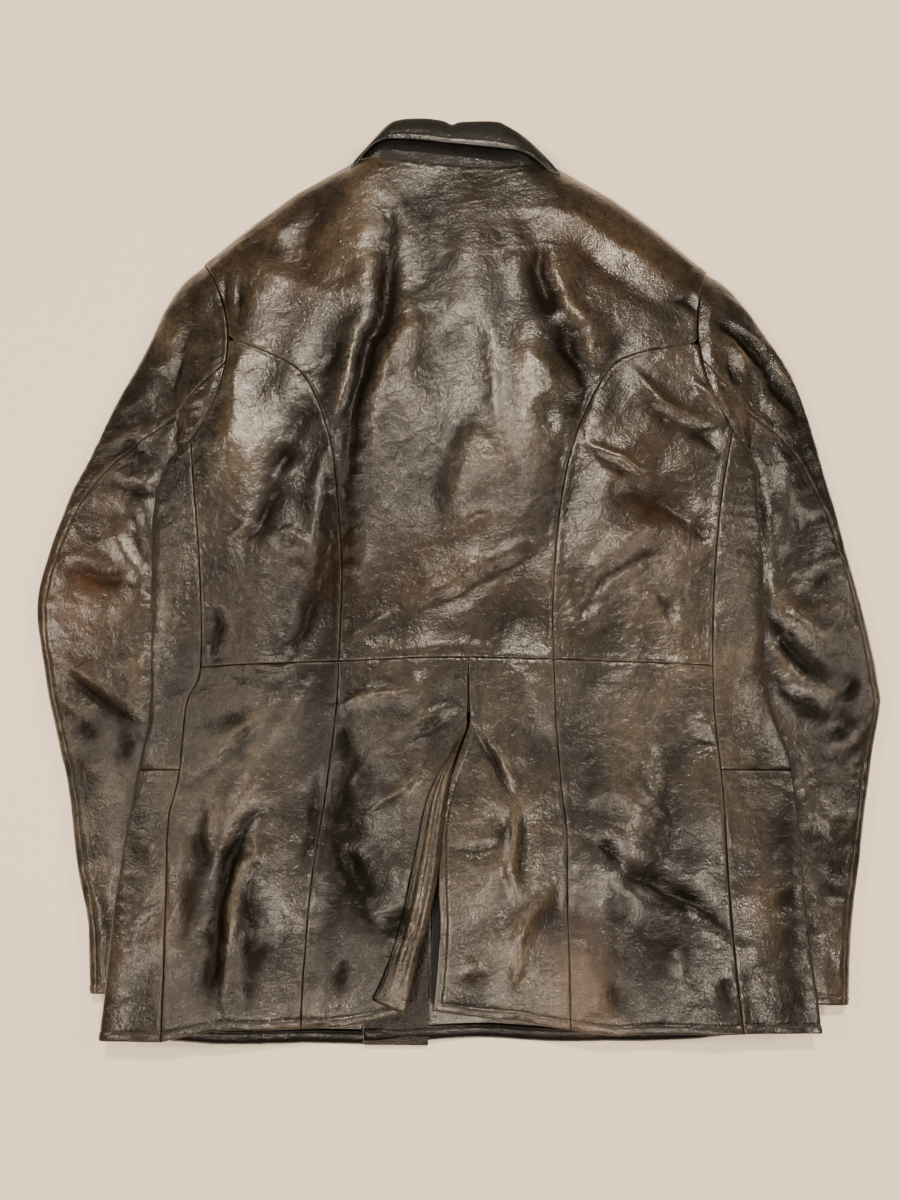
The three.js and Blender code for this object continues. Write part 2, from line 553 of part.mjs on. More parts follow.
function collar() {
  const fold = along(COLLAR_TOP, COLLAR_COLUMNS);
  const neck = along([[-84, 364], [-56, 360], [-1, 355.5], [50, 354.5], [84, 358]], COLLAR_COLUMNS);
  const free = along(COLLAR_FREE, COLLAR_COLUMNS);
  const edgeZ = (x) => lerp(0, 9, rise(Math.abs(x), 40, 92)); // the collar turns down at the neck's sides

  const band = (a, b, za, zb, steps) => Array.from({ length: steps + 1 }, (_, j) => a.map(([x, y], i) => {
    const t = j / steps;
    return [lerp(x, b[i][0], t), lerp(y, b[i][1], t), lerp(za, zb, t) - edgeZ(x)];
  }));
  const lifted = (rows, dz) => rows.map((row) => row.map(([x, y, z]) => [x, y, z + dz]));

  // The stand rises from the neck seam, just past it, to the fold.
  const standRows = band(neck.map(([x, y]) => [x, y + 1.5]), fold.map(([x, y]) => [x * 0.99, y - 3]), 34, COLLAR_FOLD_Z - 3.4, 3);
  add("collar_stand", shellGeometry(lifted(standRows, LEATHER), standRows), MATERIALS.collar);

  // The fall turns over the fold and comes back above the stand to its free edge.
  const fallRows = band(fold, free, COLLAR_FOLD_Z, COLLAR_FOLD_Z + 6, 3);
  add("collar_fall", shellGeometry(lifted(fallRows, 2 * LEATHER), fallRows), MATERIALS.collar);

  // Its front ends lie below, on the lapels' side, along the neck opening.
  const ends = {
    left: [[-97, 352], [-88, 322], [-114, 288], [-136, 296], [-122, 322]],
    right: [[99, 348], [88, 318], [112, 288], [134, 296], [122, 320]],
  };
  for (const [name, outline] of Object.entries(ends)) {
    const shape = new THREE.Shape(outline.map(([x, y]) => new THREE.Vector2(x, y)));
    const geometry = new THREE.ExtrudeGeometry(shape, { depth: LEATHER, bevelEnabled: false });
    add(`collar_front_${name}`, geometry.translate(0, 0, LAPEL_Z), MATERIALS.collar);
  }
}

// ---------------------------------------------------------------- neck lining, label and hanger loop
const LOOP = { y: 334, top: 31.5, width: 72, depth: 15, strap: 5, thickness: 1.4 };
function innerBack() {
  const top = [[-66, 346], [-1, 341], [66, 340]];
  const low = -358;
  const xs = (side, y) => xAt(joined(SIDES[side].skirtLine, SIDES[side].hipLine, SIDES[side].bodiceLine), y)
    - side * lerp(7, 72, rise(y, 60, 190));
  const ys = Array.from({ length: 15 }, (_, j) => lerp(low, 286, j / 14));
  const edge = (side) => [...ys.map((y) => [xs(side, Math.min(y, ARMPIT_Y)) - side * 130 * rise(y, 180, 320), y]), top.at(side < 0 ? 0 : -1)];
  const a = edge(-1);
  const b = edge(1);
  const ventGap = planGrid(a, b, straight(a[0], b[0], 12), along(top, 12));
  const drop = LEATHER + PLY_GAP + FACING + PLY_GAP + LINING;
  const liningUnder = (x, y) => backTop(x, y) - drop;
  add("back_lining", ply(ventGap, liningUnder, LINING), MATERIALS.lining);

  const label = { x: 56, y: 34, at: 296 };
  const side = (x) => straight([x, label.at - label.y / 2], [x, label.at + label.y / 2], 1);
  const end = (y) => straight([-label.x / 2, y], [label.x / 2, y], 2);
  add("neck_label", ply(planGrid(side(-label.x / 2), side(label.x / 2), end(label.at - label.y / 2), end(label.at + label.y / 2)),
    (x, y) => liningUnder(x, y) - 1.2, 0.7), MATERIALS.label);

  const strap = new THREE.Shape();
  const w = LOOP.width / 2;
  strap.moveTo(-w, 0);
  strap.lineTo(-w, -LOOP.depth);
  strap.lineTo(w, -LOOP.depth);
  strap.lineTo(w, 0);
  strap.lineTo(w - LOOP.strap, 0);
  strap.lineTo(w - LOOP.strap, -LOOP.depth + LOOP.strap);
  strap.lineTo(-w + LOOP.strap, -LOOP.depth + LOOP.strap);
  strap.lineTo(-w + LOOP.strap, 0);
  const loop = new THREE.ExtrudeGeometry(strap, { depth: LOOP.thickness, bevelEnabled: false });
  add("hanger_loop", loop.rotateX(Math.PI / 2).translate(0, LOOP.y, LOOP.top), MATERIALS.facing);
}

// ---------------------------------------------------------------- sleeves
// A section of the sleeve runs from its inner edge (c = -1) to its outer edge (c = 1) and is lens
// shaped. s runs from the armhole, 0, to the cuff, 1, and angle goes round the section.
const SLEEVE_ROWS = 15;
const TURN_STEPS = 8;
function sleevePoint(side, lines, s, angle, inset, edgeInset = inset) {
  const at = (line) => {
    const k = Math.min(line.length - 2, Math.floor(s * (line.length - 1)));
    const t = s * (line.length - 1) - k;
    return [lerp(line[k][0], line[k + 1][0], t), lerp(line[k][1], line[k + 1][1], t)];
  };
  const [ox, oy] = at(lines.outer);
  const [ix, iy] = at(lines.inner);
  const width = Math.hypot(ox - ix, oy - iy) / 2;
  const c = Math.cos(angle) * ((width - edgeInset) / width);
  const half = lerp(SLEEVE_HALF.armhole, SLEEVE_HALF.arm, rise(s, 0, 0.15));
  const lens = Math.sign(Math.sin(angle)) * Math.abs(Math.sin(angle)) ** 0.75;
  const bow = -side * SIDES[side].armholeBow * (1 - Math.cos(angle) ** 2) * (1 - rise(s, 0, 0.34));
  return [(ox + ix) / 2 + (c * (ox - ix)) / 2 + bow + side * 0.9, (oy + iy) / 2 + (c * (oy - iy)) / 2, half + 0.3 + (half - inset) * lens];
}

const degrees = Math.PI / 180;
// The elbow seam starts on the back of the armhole and runs out to the sleeve's outer edge.
const elbowSeam = (s) => lerp(101, 26, rise(s, 0, 0.46)) * degrees;
const FRONT_SEAM = -118 * degrees;
const SLEEVE_SEAM_GAP = 0.3 * degrees;
const LINING_EDGE = 9; // the lining stops this far inside the folded edges of the sleeve

function sleeves() {
  for (const side of [-1, 1]) {
    const s = SIDES[side];
    const lines = { outer: along(s.sleeveOuter, 60), inner: along(s.sleeveInner, 60) };
    const shell = (name, from, to, insets, material, range, rows = SLEEVE_ROWS, turns = TURN_STEPS, edge = 0) => {
      const grid = (inset) => Array.from({ length: rows + 1 }, (_, j) => {
        const t = lerp(range[0], range[1], j / rows);
        return Array.from({ length: turns + 1 }, (_, i) =>
          sleevePoint(side, lines, t, lerp(from(t), to(t), i / turns), inset, inset + edge));
      });
      add(name, shellGeometry(grid(insets[0]), grid(insets[1])), material);
    };
    const turn = 360 * degrees;
    shell(`sleeve_top_${s.name}`, () => FRONT_SEAM + SLEEVE_SEAM_GAP, (t) => elbowSeam(t) - SLEEVE_SEAM_GAP, [0, LEATHER],
      MATERIALS.shell, [0, 1]);
    shell(`sleeve_under_${s.name}`, (t) => elbowSeam(t) + SLEEVE_SEAM_GAP, () => FRONT_SEAM + turn - SLEEVE_SEAM_GAP, [0, LEATHER],
      MATERIALS.shell, [0, 1]);
    // The lining stops short of the cuff, where the leather is turned in.
    const plies = [LEATHER + 1.2, LEATHER + 1.2 + LINING];
    shell(`sleeve_lining_${s.name}`, () => -178 * degrees, () => 178 * degrees, plies, MATERIALS.lining,
      [1 / SLEEVE_ROWS, 1 - 1 / SLEEVE_ROWS], SLEEVE_ROWS - 2, 12, LINING_EDGE);
    shell(`cuff_facing_${s.name}`, () => -178 * degrees, () => 178 * degrees, plies, MATERIALS.facing,
      [1.003 - 1 / SLEEVE_ROWS, 0.998], 1, 12, LINING_EDGE);
  }
}

backPanels();
skirtCentre();
ventFacing();
sidePanels();
fronts();
lapels();
buttons();
collar();
innerBack();
sleeves();

export default jacket;
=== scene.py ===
"""A tailored leather jacket, lying flat and buttoned with its back uppermost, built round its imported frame.

Lengths are worked out in millimetres and turned into metres when a mesh is made. Left and right are
those of someone looking down on the jacket's back.
"""
import math

import bpy
import numpy as np
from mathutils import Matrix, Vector


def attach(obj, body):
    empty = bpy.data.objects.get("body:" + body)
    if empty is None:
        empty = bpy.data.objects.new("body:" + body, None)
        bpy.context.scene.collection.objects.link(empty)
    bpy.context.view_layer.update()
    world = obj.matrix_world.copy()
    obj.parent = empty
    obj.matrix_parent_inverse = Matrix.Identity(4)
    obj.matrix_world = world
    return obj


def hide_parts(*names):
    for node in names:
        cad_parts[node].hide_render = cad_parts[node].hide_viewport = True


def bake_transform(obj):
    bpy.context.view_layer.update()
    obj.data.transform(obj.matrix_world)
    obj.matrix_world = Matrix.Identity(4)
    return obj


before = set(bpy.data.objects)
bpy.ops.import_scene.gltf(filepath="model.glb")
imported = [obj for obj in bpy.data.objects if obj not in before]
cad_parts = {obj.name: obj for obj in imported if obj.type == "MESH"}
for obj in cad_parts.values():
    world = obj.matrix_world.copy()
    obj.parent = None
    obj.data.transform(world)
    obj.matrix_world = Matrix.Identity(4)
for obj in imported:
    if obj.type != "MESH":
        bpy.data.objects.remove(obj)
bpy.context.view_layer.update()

MM = 0.001
LEATHER = 1.4
THINNEST = 0.25
HIP_Y = -182
ARMPIT_Y = 93
SHOULDER_TIP_Y = 268
CENTRE_BACK_X = 11
CENTRE_FRONT_X = -47
OVERLAP = 25
FRONT_LIFT = 4.2
OVERLAP_LIFT = 4.2
LAPEL_LIFT = 2.3
SLEEVE_CLEARANCE = 19.6
SHOULDER_EDGE_Z = 8
SHOULDER_ROUND = 42
BACK_MIDDLE_Z = 38
BACK_SIDE_Z = 34
BACK_HALF_WIDTH = 212
SLEEVE_HALF = {"armhole": 14, "arm": 8.5}


# ---------------------------------------------------------------- lines and grids
def ramp(x, start, end):
    return np.clip((x - start) / (end - start), 0, 1)


def rise(x, start, end):
    t = ramp(x, start, end)
    return t * t * (3 - 2 * t)


def resample(line, shares):
    """Points at the given shares of a polyline's length."""
    line = np.asarray(line, float)
    reach = np.concatenate([[0], np.cumsum(np.linalg.norm(np.diff(line, axis=0), axis=1))])
    at = np.asarray(shares) * reach[-1]
    return np.stack([np.interp(at, reach, line[:, k]) for k in range(line.shape[1])], 1)


def smooth(points, steps=16):
    """A dense smooth line through a few points."""
    p = np.asarray(points, float)
    if len(p) == 2:
        return p
    p = np.vstack([2 * p[0] - p[1], p, 2 * p[-1] - p[-2]])
    t = np.linspace(0, 1, steps, endpoint=False)[:, None]
    spans = []
    for a, b, c, d in zip(p, p[1:], p[2:], p[3:]):
        square = 2 * a - 5 * b + 4 * c - d
        cube = 3 * b - a - 3 * c + d
        spans.append(0.5 * (2 * b + (c - a) * t + square * t**2 + cube * t**3))
    return np.vstack(spans + [p[-2:-1]])


def length(line):
    return np.linalg.norm(np.diff(line, axis=0), axis=1).sum()


EDGE_STEPS = np.array([0, 0.25, 0.6, 1.1, 1.8, 2.8, 4.2, 5.6, 6.5, 7.0, 7.5, 8.4])
FULL_EDGE_REACH = 30


def seam_shares(reach, spacing):
    """Shares of a length that crowd towards both ends, where the seams roll down."""
    edge = EDGE_STEPS * min(1, reach / FULL_EDGE_REACH)
    count = int(round((reach - 2 * edge[-1]) / spacing)) + 1
    inner = np.linspace(edge[-1], reach - edge[-1], max(2, count))
    return np.concatenate([edge[:-1], inner, (reach - edge[:-1])[::-1]]) / reach


def coons(left, right, lower, upper, us, vs):
    """A grid of plan points between four lines."""
    l, r = resample(left, vs)[:, None], resample(right, vs)[:, None]
    b, t = resample(lower, us)[None], resample(upper, us)[None]
    u, v = us[None, :, None], vs[:, None, None]
    corners = ((1 - u) * (1 - v) * b[:, :1] + u * (1 - v) * b[:, -1:]
               + (1 - u) * v * t[:, :1] + u * v * t[:, -1:])
    return (1 - v) * b + v * t + (1 - u) * l + u * r - corners


def x_at(line, y):
    order = np.argsort(line[:, 1])
    return np.interp(y, line[order, 1], line[order, 0])


# ---------------------------------------------------------------- noise and folds
SEED = 7
LATTICE_SIZE = 64
rng = np.random.default_rng(SEED)
LATTICES = [rng.uniform(-1, 1, (LATTICE_SIZE, LATTICE_SIZE)) for _ in range(12)]


def noise(x, y, scale, kind=0, turn=0.0, stretch=1.0):
    """Smooth noise between -1 and 1 with features of about that many millimetres."""
    c, s = math.cos(turn), math.sin(turn)
    u = (c * x + s * y) / (scale * stretch) + 31.7 * kind
    v = (-s * x + c * y) / scale + 17.3 * kind
    table = LATTICES[kind % len(LATTICES)]
    i, j = np.floor(u).astype(int), np.floor(v).astype(int)
    fu, fv = u - i, v - j
    fu, fv = fu * fu * (3 - 2 * fu), fv * fv * (3 - 2 * fv)
    at = lambda a, b: table[(i + a) % LATTICE_SIZE, (j + b) % LATTICE_SIZE]
    return (at(0, 0) * (1 - fu) + at(1, 0) * fu) * (1 - fv) + (at(0, 1) * (1 - fu) + at(1, 1) * fu) * fv


def fractal(x, y, scale, kind, octaves):
    """Noise with finer and weaker noise added to it."""
    total = 0
    for k in range(octaves):
        total = total + noise(x, y, scale / 2**k, kind + k) / 2**k
    return total


def wrinkles(x, y, scale, kind=0, turn=0.0, stretch=4.0):
    """Thin creases: the ridges of a noise that is itself bent by noise."""
    bend = 0.4 * scale
    wx = x + bend * noise(x, y, scale * 1.7, kind + 3)
    wy = y + bend * noise(x, y, scale * 1.7, kind + 5)
    ridge = 1 - np.abs(noise(wx, wy, scale, kind, turn, stretch)) * 2.2
    return np.clip(ridge, 0, 1) ** 2


NARROWEST_FLANK = 4.5
DEEPEST_SLOPE = -0.55
STEEPEST_SLOPE = 0.6


def stroke(x, y, points, height, before, after):
    """A fold that follows a line. The two widths are those of its left or upper and its other flank."""
    line = smooth(points, 5)
    before, after = max(before, NARROWEST_FLANK), max(after, NARROWEST_FLANK)
    widest = max(before, after)
    height = float(np.clip(height, DEEPEST_SLOPE * widest, STEEPEST_SLOPE * widest))
    dx, dy = line[-1] - line[0]
    flip = dx > 0 if abs(dx) > abs(dy) else dy > 0
    reach = 3 * widest
    inside = ((x > line[:, 0].min() - reach) & (x < line[:, 0].max() + reach)
              & (y > line[:, 1].min() - reach) & (y < line[:, 1].max() + reach))
    out = np.zeros_like(x)
    px, py = x[inside], y[inside]
    if not len(px):
        return out
    best = np.full(px.shape, np.inf)
    side = np.zeros_like(px)
    along = np.zeros_like(px)
    run = np.concatenate([[0], np.cumsum(np.linalg.norm(np.diff(line, axis=0), axis=1))])
    for k, (a, b) in enumerate(zip(line, line[1:])):
        d = b - a
        long = np.hypot(*d)
        t = np.clip(((px - a[0]) * d[0] + (py - a[1]) * d[1]) / long**2, 0, 1)
        far = np.hypot(px - a[0] - t * d[0], py - a[1] - t * d[1])
        nearer = far < best
        best = np.where(nearer, far, best)
        side = np.where(nearer, d[0] * (py - a[1]) - d[1] * (px - a[0]), side)
        along = np.where(nearer, (run[k] + t * long) / run[-1], along)
    if flip:
        side = -side
    fade = np.sin(math.pi * np.clip(along, 0.02, 0.98)) ** 0.7
    width = np.where(side < 0, before, after) * (0.5 + 0.5 * fade)
    out[inside] = height * fade * np.exp(-((best / width) ** 1.6))
    return out


def folds(x, y, table):
    """All the folds of a table, drawn a little unsteadily so that none is a clean tube."""
    wx = x + 3.2 * noise(x, y, 24, 9) + 1.2 * noise(x, y, 10, 10)
    wy = y + 3.2 * noise(x, y, 26, 11) + 1.2 * noise(x, y, 9, 6)
    total = np.zeros_like(x)
    for points, height, before, after in table:
        total += stroke(wx, wy, points, height, before, after)
    return total * (0.9 + 0.3 * noise(x, y, 16, 7))


# ---------------------------------------------------------------- seams, in plan
LEFT, RIGHT = -1, 1
NAME = {LEFT: "left", RIGHT: "right"}
SEAMS = {
    LEFT: {
        "side_skirt": [(-222, -385), (-224, -276), (-225, -223), (-220, -196), (-218, HIP_Y)],
        "side_hip": [(-218, HIP_Y), (-216, -131), (-208, -112), (-206, -100)],
        "side_bodice": [(-206, -100), (-207, -64), (-213, 6), (-221, 66), (-224, ARMPIT_Y)],
        "princess": [(-94, -95), (-93, -46), (-94, -12), (-99, 51), (-106, 96), (-125, 146), (-149, 167),
                     (-190, 184)],
        "princess_skirt": [(-117, -376), (-116, -333), (-113, -280), (-107, -230), (-100, -179), (-95, -125),
                           (-94, -95)],
        "armhole": ((-225, ARMPIT_Y + 1), (-226, SHOULDER_TIP_Y), 30),
        "shoulder": [(-226, SHOULDER_TIP_Y), (-186, 307), (-141, 342), (-97, 368)],
        "body_edge": [(-271, -383), (-263, -260), (-254, HIP_Y), (-246, -126), (-253, -9), (-252, 42),
                      (-246, 68), (-231, ARMPIT_Y)],
        "sleeve_outer": [(-228, 269), (-255, 226), (-287, 159), (-314, 94), (-332, 48), (-346, -5),
                         (-352, -40), (-346, -82), (-330, -141), (-313, -198), (-303, -253), (-291, -299),
                         (-285, -354)],
        "sleeve_inner": [(-229, 93), (-251, 58), (-240, 18), (-215, -32), (-195, -92), (-178, -182),
                         (-163, -290), (-158, -350)],
        "hem": [(-222, -385), (-194, -379), (-171, -377), (-117, -376)],
        "hem_centre": [(-117, -376), (-87, -375), (-61, -371), (-38, -366)],
    },
    RIGHT: {
        "side_skirt": [(219, -380), (215, -319), (213, -255), (212, -205), (211, HIP_Y)],
        "side_hip": [(211, HIP_Y), (208, -140), (208, -100)],
        "side_bodice": [(208, -100), (211, -60), (216, -11), (224, 45), (232, 82), (236, ARMPIT_Y + 8)],
        "princess": [(80, -95), (80, -51), (84, 2), (90, 45), (98, 82), (108, 111), (122, 140), (146, 168),
                     (206, 182)],
        "princess_skirt": [(88, -377), (88, -328), (88, -267), (88, -227), (84, -190), (81, -140), (80, -95)],
        "armhole": ((238, ARMPIT_Y + 10), (228, SHOULDER_TIP_Y - 8), 22),
        "shoulder": [(228, SHOULDER_TIP_Y - 8), (195, 292), (151, 327), (99, 362)],
        "body_edge": [(279, -381), (274, -290), (269, HIP_Y), (255, -115), (257, 8), (257, 60), (252, 85),
                      (243, ARMPIT_Y + 8)],
        "sleeve_outer": [(230, 262), (257, 226), (290, 178), (308, 131), (321, 66), (335, -5), (346, -57),
                         (352, -108), (352, -133), (339, -181), (326, -245), (315, -299), (306, -362)],
        "sleeve_inner": [(242, 102), (261, 62), (252, 12), (230, -42), (210, -112), (194, -200), (183, -300),
                         (180, -358)],
        "hem": [(88, -377), (120, -381), (148, -380), (219, -380)],
        "hem_centre": [(-17, -364), (11, -368), (50, -371), (65, -374), (88, -377)],
    },
}


def complete(side, seams):
    """Bows the armhole, smooths the seams and joins those that run on from each other."""
    (x0, y0), (x1, y1), bow = seams["armhole"]
    t = np.linspace(0, 1, 60)
    seams["armhole_bow"] = bow
    x = x0 + (x1 - x0) * t - side * bow * (1 - (2 * t - 1) ** 2)
    seams["armhole"] = np.stack([x, y0 + (y1 - y0) * t], 1)
    for key, points in seams.items():
        if isinstance(points, list):
            seams[key] = smooth(points)
    seams["side"] = np.vstack([seams["side_hip"], seams["side_bodice"][1:]])
    meeting = seams["princess"][-1:]
    split = int(np.argmin(abs(seams["armhole"][:, 1] - meeting[0, 1])))
    seams["armhole_low"] = np.vstack([seams["armhole"][:split], meeting])
    seams["armhole_high"] = np.vstack([meeting, seams["armhole"][split + 1:]])


for side, seams in SEAMS.items():
    complete(side, seams)

NECK = smooth([SEAMS[LEFT]["shoulder"][-1], (-56, 358), (-1, 353), (50, 352), SEAMS[RIGHT]["shoulder"][-1]])
PRINCESS_X = {LEFT: -94, RIGHT: 80}
WAIST_END_X = {LEFT: -206, RIGHT: 208}
CENTRE_WAIST = (CENTRE_BACK_X, -92.5)
WAIST = smooth([(WAIST_END_X[LEFT], -100), (PRINCESS_X[LEFT], -95), CENTRE_WAIST, (PRINCESS_X[RIGHT], -94),
                (149, -96), (WAIST_END_X[RIGHT], -99)])
VENT_TOP_Y = -146
VENT_FOLD = smooth([(-38, -366), (-34, -335), (-28, -307), (-20, -267), (-12, -210), (-3, -175),
                    (10, VENT_TOP_Y)])
VENT_EDGE = smooth([(-17, -364), (-14, -336), (-12, -300), (-13, -267), (-12, -220), (1, -175),
                    (12, VENT_TOP_Y)])
VENT_FREE = smooth([(-64, -355), (-56, -339), (-46, -311), (-38, -279), (-30, -241), (-20, -200), (3, -159)])


def waist_part(x0, x1):
    inner = WAIST[(WAIST[:, 0] > x0 + 1) & (WAIST[:, 0] < x1 - 1)]
    at = lambda x: (x, np.interp(x, WAIST[:, 0], WAIST[:, 1]))
    return np.vstack([at(x0), inner, at(x1)])


# ---------------------------------------------------------------- folds of the leather
# Each is a line, its height, and the widths of its left or upper flank and of its other flank.
BACK_FOLDS = [
    ([(-58, 313), (-55, 264), (-58, 216), (-73, 179), (-84, 142), (-88, 97), (-87, 53)], -6.5, 13, 9),
    ([(-87, 93), (-90, 48), (-102, -45)], -4.5, 16, 13),
    ([(-46, 235), (-43, 198), (-57, 160), (-68, 119), (-73, 48)], 4, 8, 16),
    ([(-82, 48), (-75, 14), (-73, -20), (-76, -47)], 3.2, 7, 14),
    ([(-72, 204), (-85, 182), (-106, 100)], 3.2, 10, 4),
    ([(-95, 191), (-122, 154), (-134, 149)], -2.4, 9, 7),
    ([(-107, 179), (-117, 163), (-127, 154)], 2, 5, 5),
    ([(-77, 313), (-80, 221)], 2.4, 16, 12),
    ([(-111, 318), (-105, 283), (-116, 257)], 2, 16, 14),
    ([(-192, 257), (-169, 252), (-135, 236), (-100, 230), (-70, 257)], 2, 9, 12),
    ([(-217, 236), (-213, 257), (-196, 275), (-173, 286)], 3, 4, 8),
    ([(-184, 267), (-169, 277), (-160, 263)], -3.4, 10, 9),
    ([(-204, 251), (-200, 226), (-198, 198)], -3, 5, 5),
    ([(-190, 248), (-187, 223), (-189, 197)], -2.6, 4, 4),
    ([(-185, 179), (-190, 142), (-192, 70)], 2.6, 7, 10),
    ([(-118, 127), (-133, 106), (-144, 77), (-151, 44), (-163, 16), (-179, 5)], -4.6, 13, 11),
    ([(-160, 19), (-175, 14), (-182, 4), (-173, -18)], 2.2, 3.5, 5),
    ([(-112, 77), (-121, -24)], 3.2, 7, 11),
    ([(-101, 66), (-109, -20), (-120, -58), (-133, -91)], -4.8, 13, 9),
    ([(-151, 14), (-138, 16), (-125, 5), (-119, -12)], 2.2, 4, 7),
    ([(-151, -2), (-136, -3), (-124, -12), (-119, -25)], 2, 3, 5),
    ([(-195, -45), (-196, -70), (-191, -99)], -3.2, 8, 7),
    ([(-130, -45), (-136, -66), (-145, -87)], 2, 6, 6),
    ([(-99, -88), (-81, -74), (-43, -51)], 2.2, 4, 8),
    ([(-89, -85), (-4, -82), (37, -83)], 1.6, 5, 8),
    ([(-36, -52), (-4, -30), (60, 5)], 2.8, 9, 12),
    ([(-20, -55), (46, -18), (75, -5)], -1.8, 9, 10),
    ([(-25, 3), (13, 22), (39, 30)], 2, 4, 7),
    ([(17, 110), (6, 75), (-7, 16)], 2.2, 12, 14),
    ([(20, 106), (32, 75), (48, 48)], 1.6, 12, 12),
    ([(-13, 221), (-19, 179), (-16, 133)], -2.2, 22, 20),
    ([(26, 221), (32, 179), (38, 93)], 1.8, 7, 9),
    ([(-20, 328), (-16, 293), (-20, 257)], 1.4, 8, 7),
    ([(45, 303), (53, 269), (52, 230)], 3, 12, 13),
    ([(76, 274), (77, 235), (81, 202)], -5.5, 13, 9),
    ([(81, 204), (100, 179), (110, 149), (108, 118), (113, 89)], -5.5, 12, 8),
    ([(82, 273), (89, 240), (97, 215), (110, 200), (118, 179), (122, 149)], 4.2, 5, 12),
    ([(57, 179), (73, 160), (86, 128), (89, 93)], 2.8, 15, 12),
    ([(73, 132), (81, 118), (79, 101)], -2.2, 9, 8),
    ([(41, 313), (94, 304), (142, 277), (214, 221)], 1.8, 8, 12),
    ([(93, 286), (162, 229), (204, 204)], -1.8, 10, 9),
    ([(190, 225), (205, 221), (210, 206)], -2.2, 6, 6),
    ([(147, 162), (182, 127), (208, 114), (232, 110)], 3, 4, 10),
    ([(158, 130), (179, 115), (208, 103), (230, 103)], -2.4, 7, 6),
    ([(207, 145), (231, 112)], 2.6, 4, 6),
    ([(199, 101), (217, 93), (222, 82)], -2.2, 7, 7),
    ([(113, 106), (116, 93), (128, 83), (144, 76), (159, 67)], 3, 3.5, 8),
    ([(118, 82), (150, 62)], -3, 6, 5),
    ([(130, 37), (155, 47), (178, 38), (197, 21), (209, 1)], -4.6, 13, 12),
    ([(111, -22), (174, 26)], 3, 10, 9),
    ([(117, -37), (129, -22), (148, -12), (173, -5)], -3.2, 4.5, 3.5),
    ([(121, -42), (132, -26), (149, -16), (173, -8)], 2.4, 3, 7),
    ([(162, -35), (171, -49), (177, -64)], -2.2, 6, 6),
    ([(91, -52), (100, -66), (115, -60), (124, -45)], 2.2, 7, 8),
    ([(-187, -105), (-169, -113), (-155, -114)], -2.2, 7, 7),
    ([(-165, -101), (-145, -105), (-125, -96)], 3.1, 6, 7),
    ([(-125, -107), (-171, -155), (-198, -175)], 3.1, 7, 9),
    ([(-109, -105), (-153, -168), (-169, -206)], 2.5, 8, 10),
    ([(-164, -131), (-183, -143), (-206, -149)], -2, 6, 6),
    ([(-154, -143), (-173, -168), (-216, -198)], -2.2, 6, 6),
    ([(-152, -178), (-182, -236), (-191, -270)], 3.4, 7, 9),
    ([(-146, -214), (-163, -226), (-175, -253), (-185, -318), (-186, -362)], -8.4, 12, 7),
    ([(-155, -227), (-155, -244), (-167, -257), (-171, -281), (-174, -347), (-171, -368)], 6.4, 4.5, 9),
    ([(-160, -266), (-153, -336), (-154, -368)], -5, 10, 14),
    ([(-166, -316), (-158, -362)], 2.8, 3, 4),
    ([(-135, -281), (-130, -318), (-131, -361)], -2.8, 18, 14),
    ([(-196, -206), (-204, -281), (-205, -325)], -3.4, 10, 10),
    ([(-212, -229), (-216, -266), (-215, -303)], 2.5, 8, 8),
    ([(-190, -198), (-195, -251)], 2.2, 4, 5),
    ([(-95, -131), (-88, -163), (-90, -198), (-94, -229), (-72, -285), (-54, -311)], -9.8, 15, 17),
    ([(-108, -175), (-117, -259)], -3.4, 11, 7),
    ([(-56, -309), (-45, -300), (-39, -285)], -4.2, 8, 8),
    ([(-48, -327), (-36, -292)], 2.8, 5, 6),
    ([(-97, -132), (-82, -126), (-60, -121), (-34, -120)], 3.6, 3.5, 8),
    ([(-56, -157), (-15, -137), (4, -134)], 3.4, 4, 7),
    ([(-44, -160), (-4, -146)], -1.9, 7, 6),
    ([(-70, -221), (-21, -176)], 2.2, 3, 6),
    ([(-43, -229), (-46, -259), (-41, -281)], 2.5, 12, 12),
    ([(-34, -101), (-25, -146)], 2.8, 10, 9),
    ([(-101, -325), (-104, -354), (-102, -372)], 2.2, 6, 6),
    ([(-84, -327), (-85, -354)], -2.5, 6, 6),
    ([(15, -148), (37, -184), (46, -203)], -4.8, 4, 3),
    ([(20, -146), (32, -163), (49, -199)], 2.8, 3, 7),
    ([(48, -204), (44, -253), (47, -280)], 3.1, 4, 6),
    ([(54, -206), (55, -236), (52, -270)], -2.2, 5, 6),
    ([(29, -206), (34, -225), (35, -245)], -1.9, 10, 9),
    ([(-4, -244), (16, -246), (35, -245)], -2, 5, 5),
    ([(75, -268), (62, -290), (50, -316), (43, -354)], 3.6, 8, 9),
    ([(10, -324), (14, -340)], 2.2, 9, 9),
    ([(53, -105), (72, -127), (80, -159)], 2, 9, 9),
    ([(60, -119), (54, -143), (51, -182)], 1.7, 5, 6),
    ([(100, -206), (122, -198), (145, -210), (163, -226)], 3.4, 12, 12),
    ([(154, -159), (163, -206)], 2.2, 6, 7),
    ([(104, -238), (124, -250), (147, -269), (181, -285), (200, -300), (212, -306)], -5.9, 12, 9),
    ([(181, -292), (210, -310)], 2.5, 3, 6),
    ([(122, -253), (125, -296), (126, -372)], -4.2, 14, 22),
    ([(102, -311), (106, -370)], 2.5, 12, 10),
    ([(203, -340), (206, -361)], -1.9, 6, 6),
    ([(169, -318), (171, -340)], 2, 6, 6),
    ([(161, -115), (172, -101), (190, -96)], 2, 4, 5),
    ([(188, -139), (197, -145), (205, -145)], 2, 3, 4),
    ([(189, -155), (198, -160), (206, -160)], -2, 3, 4),
]
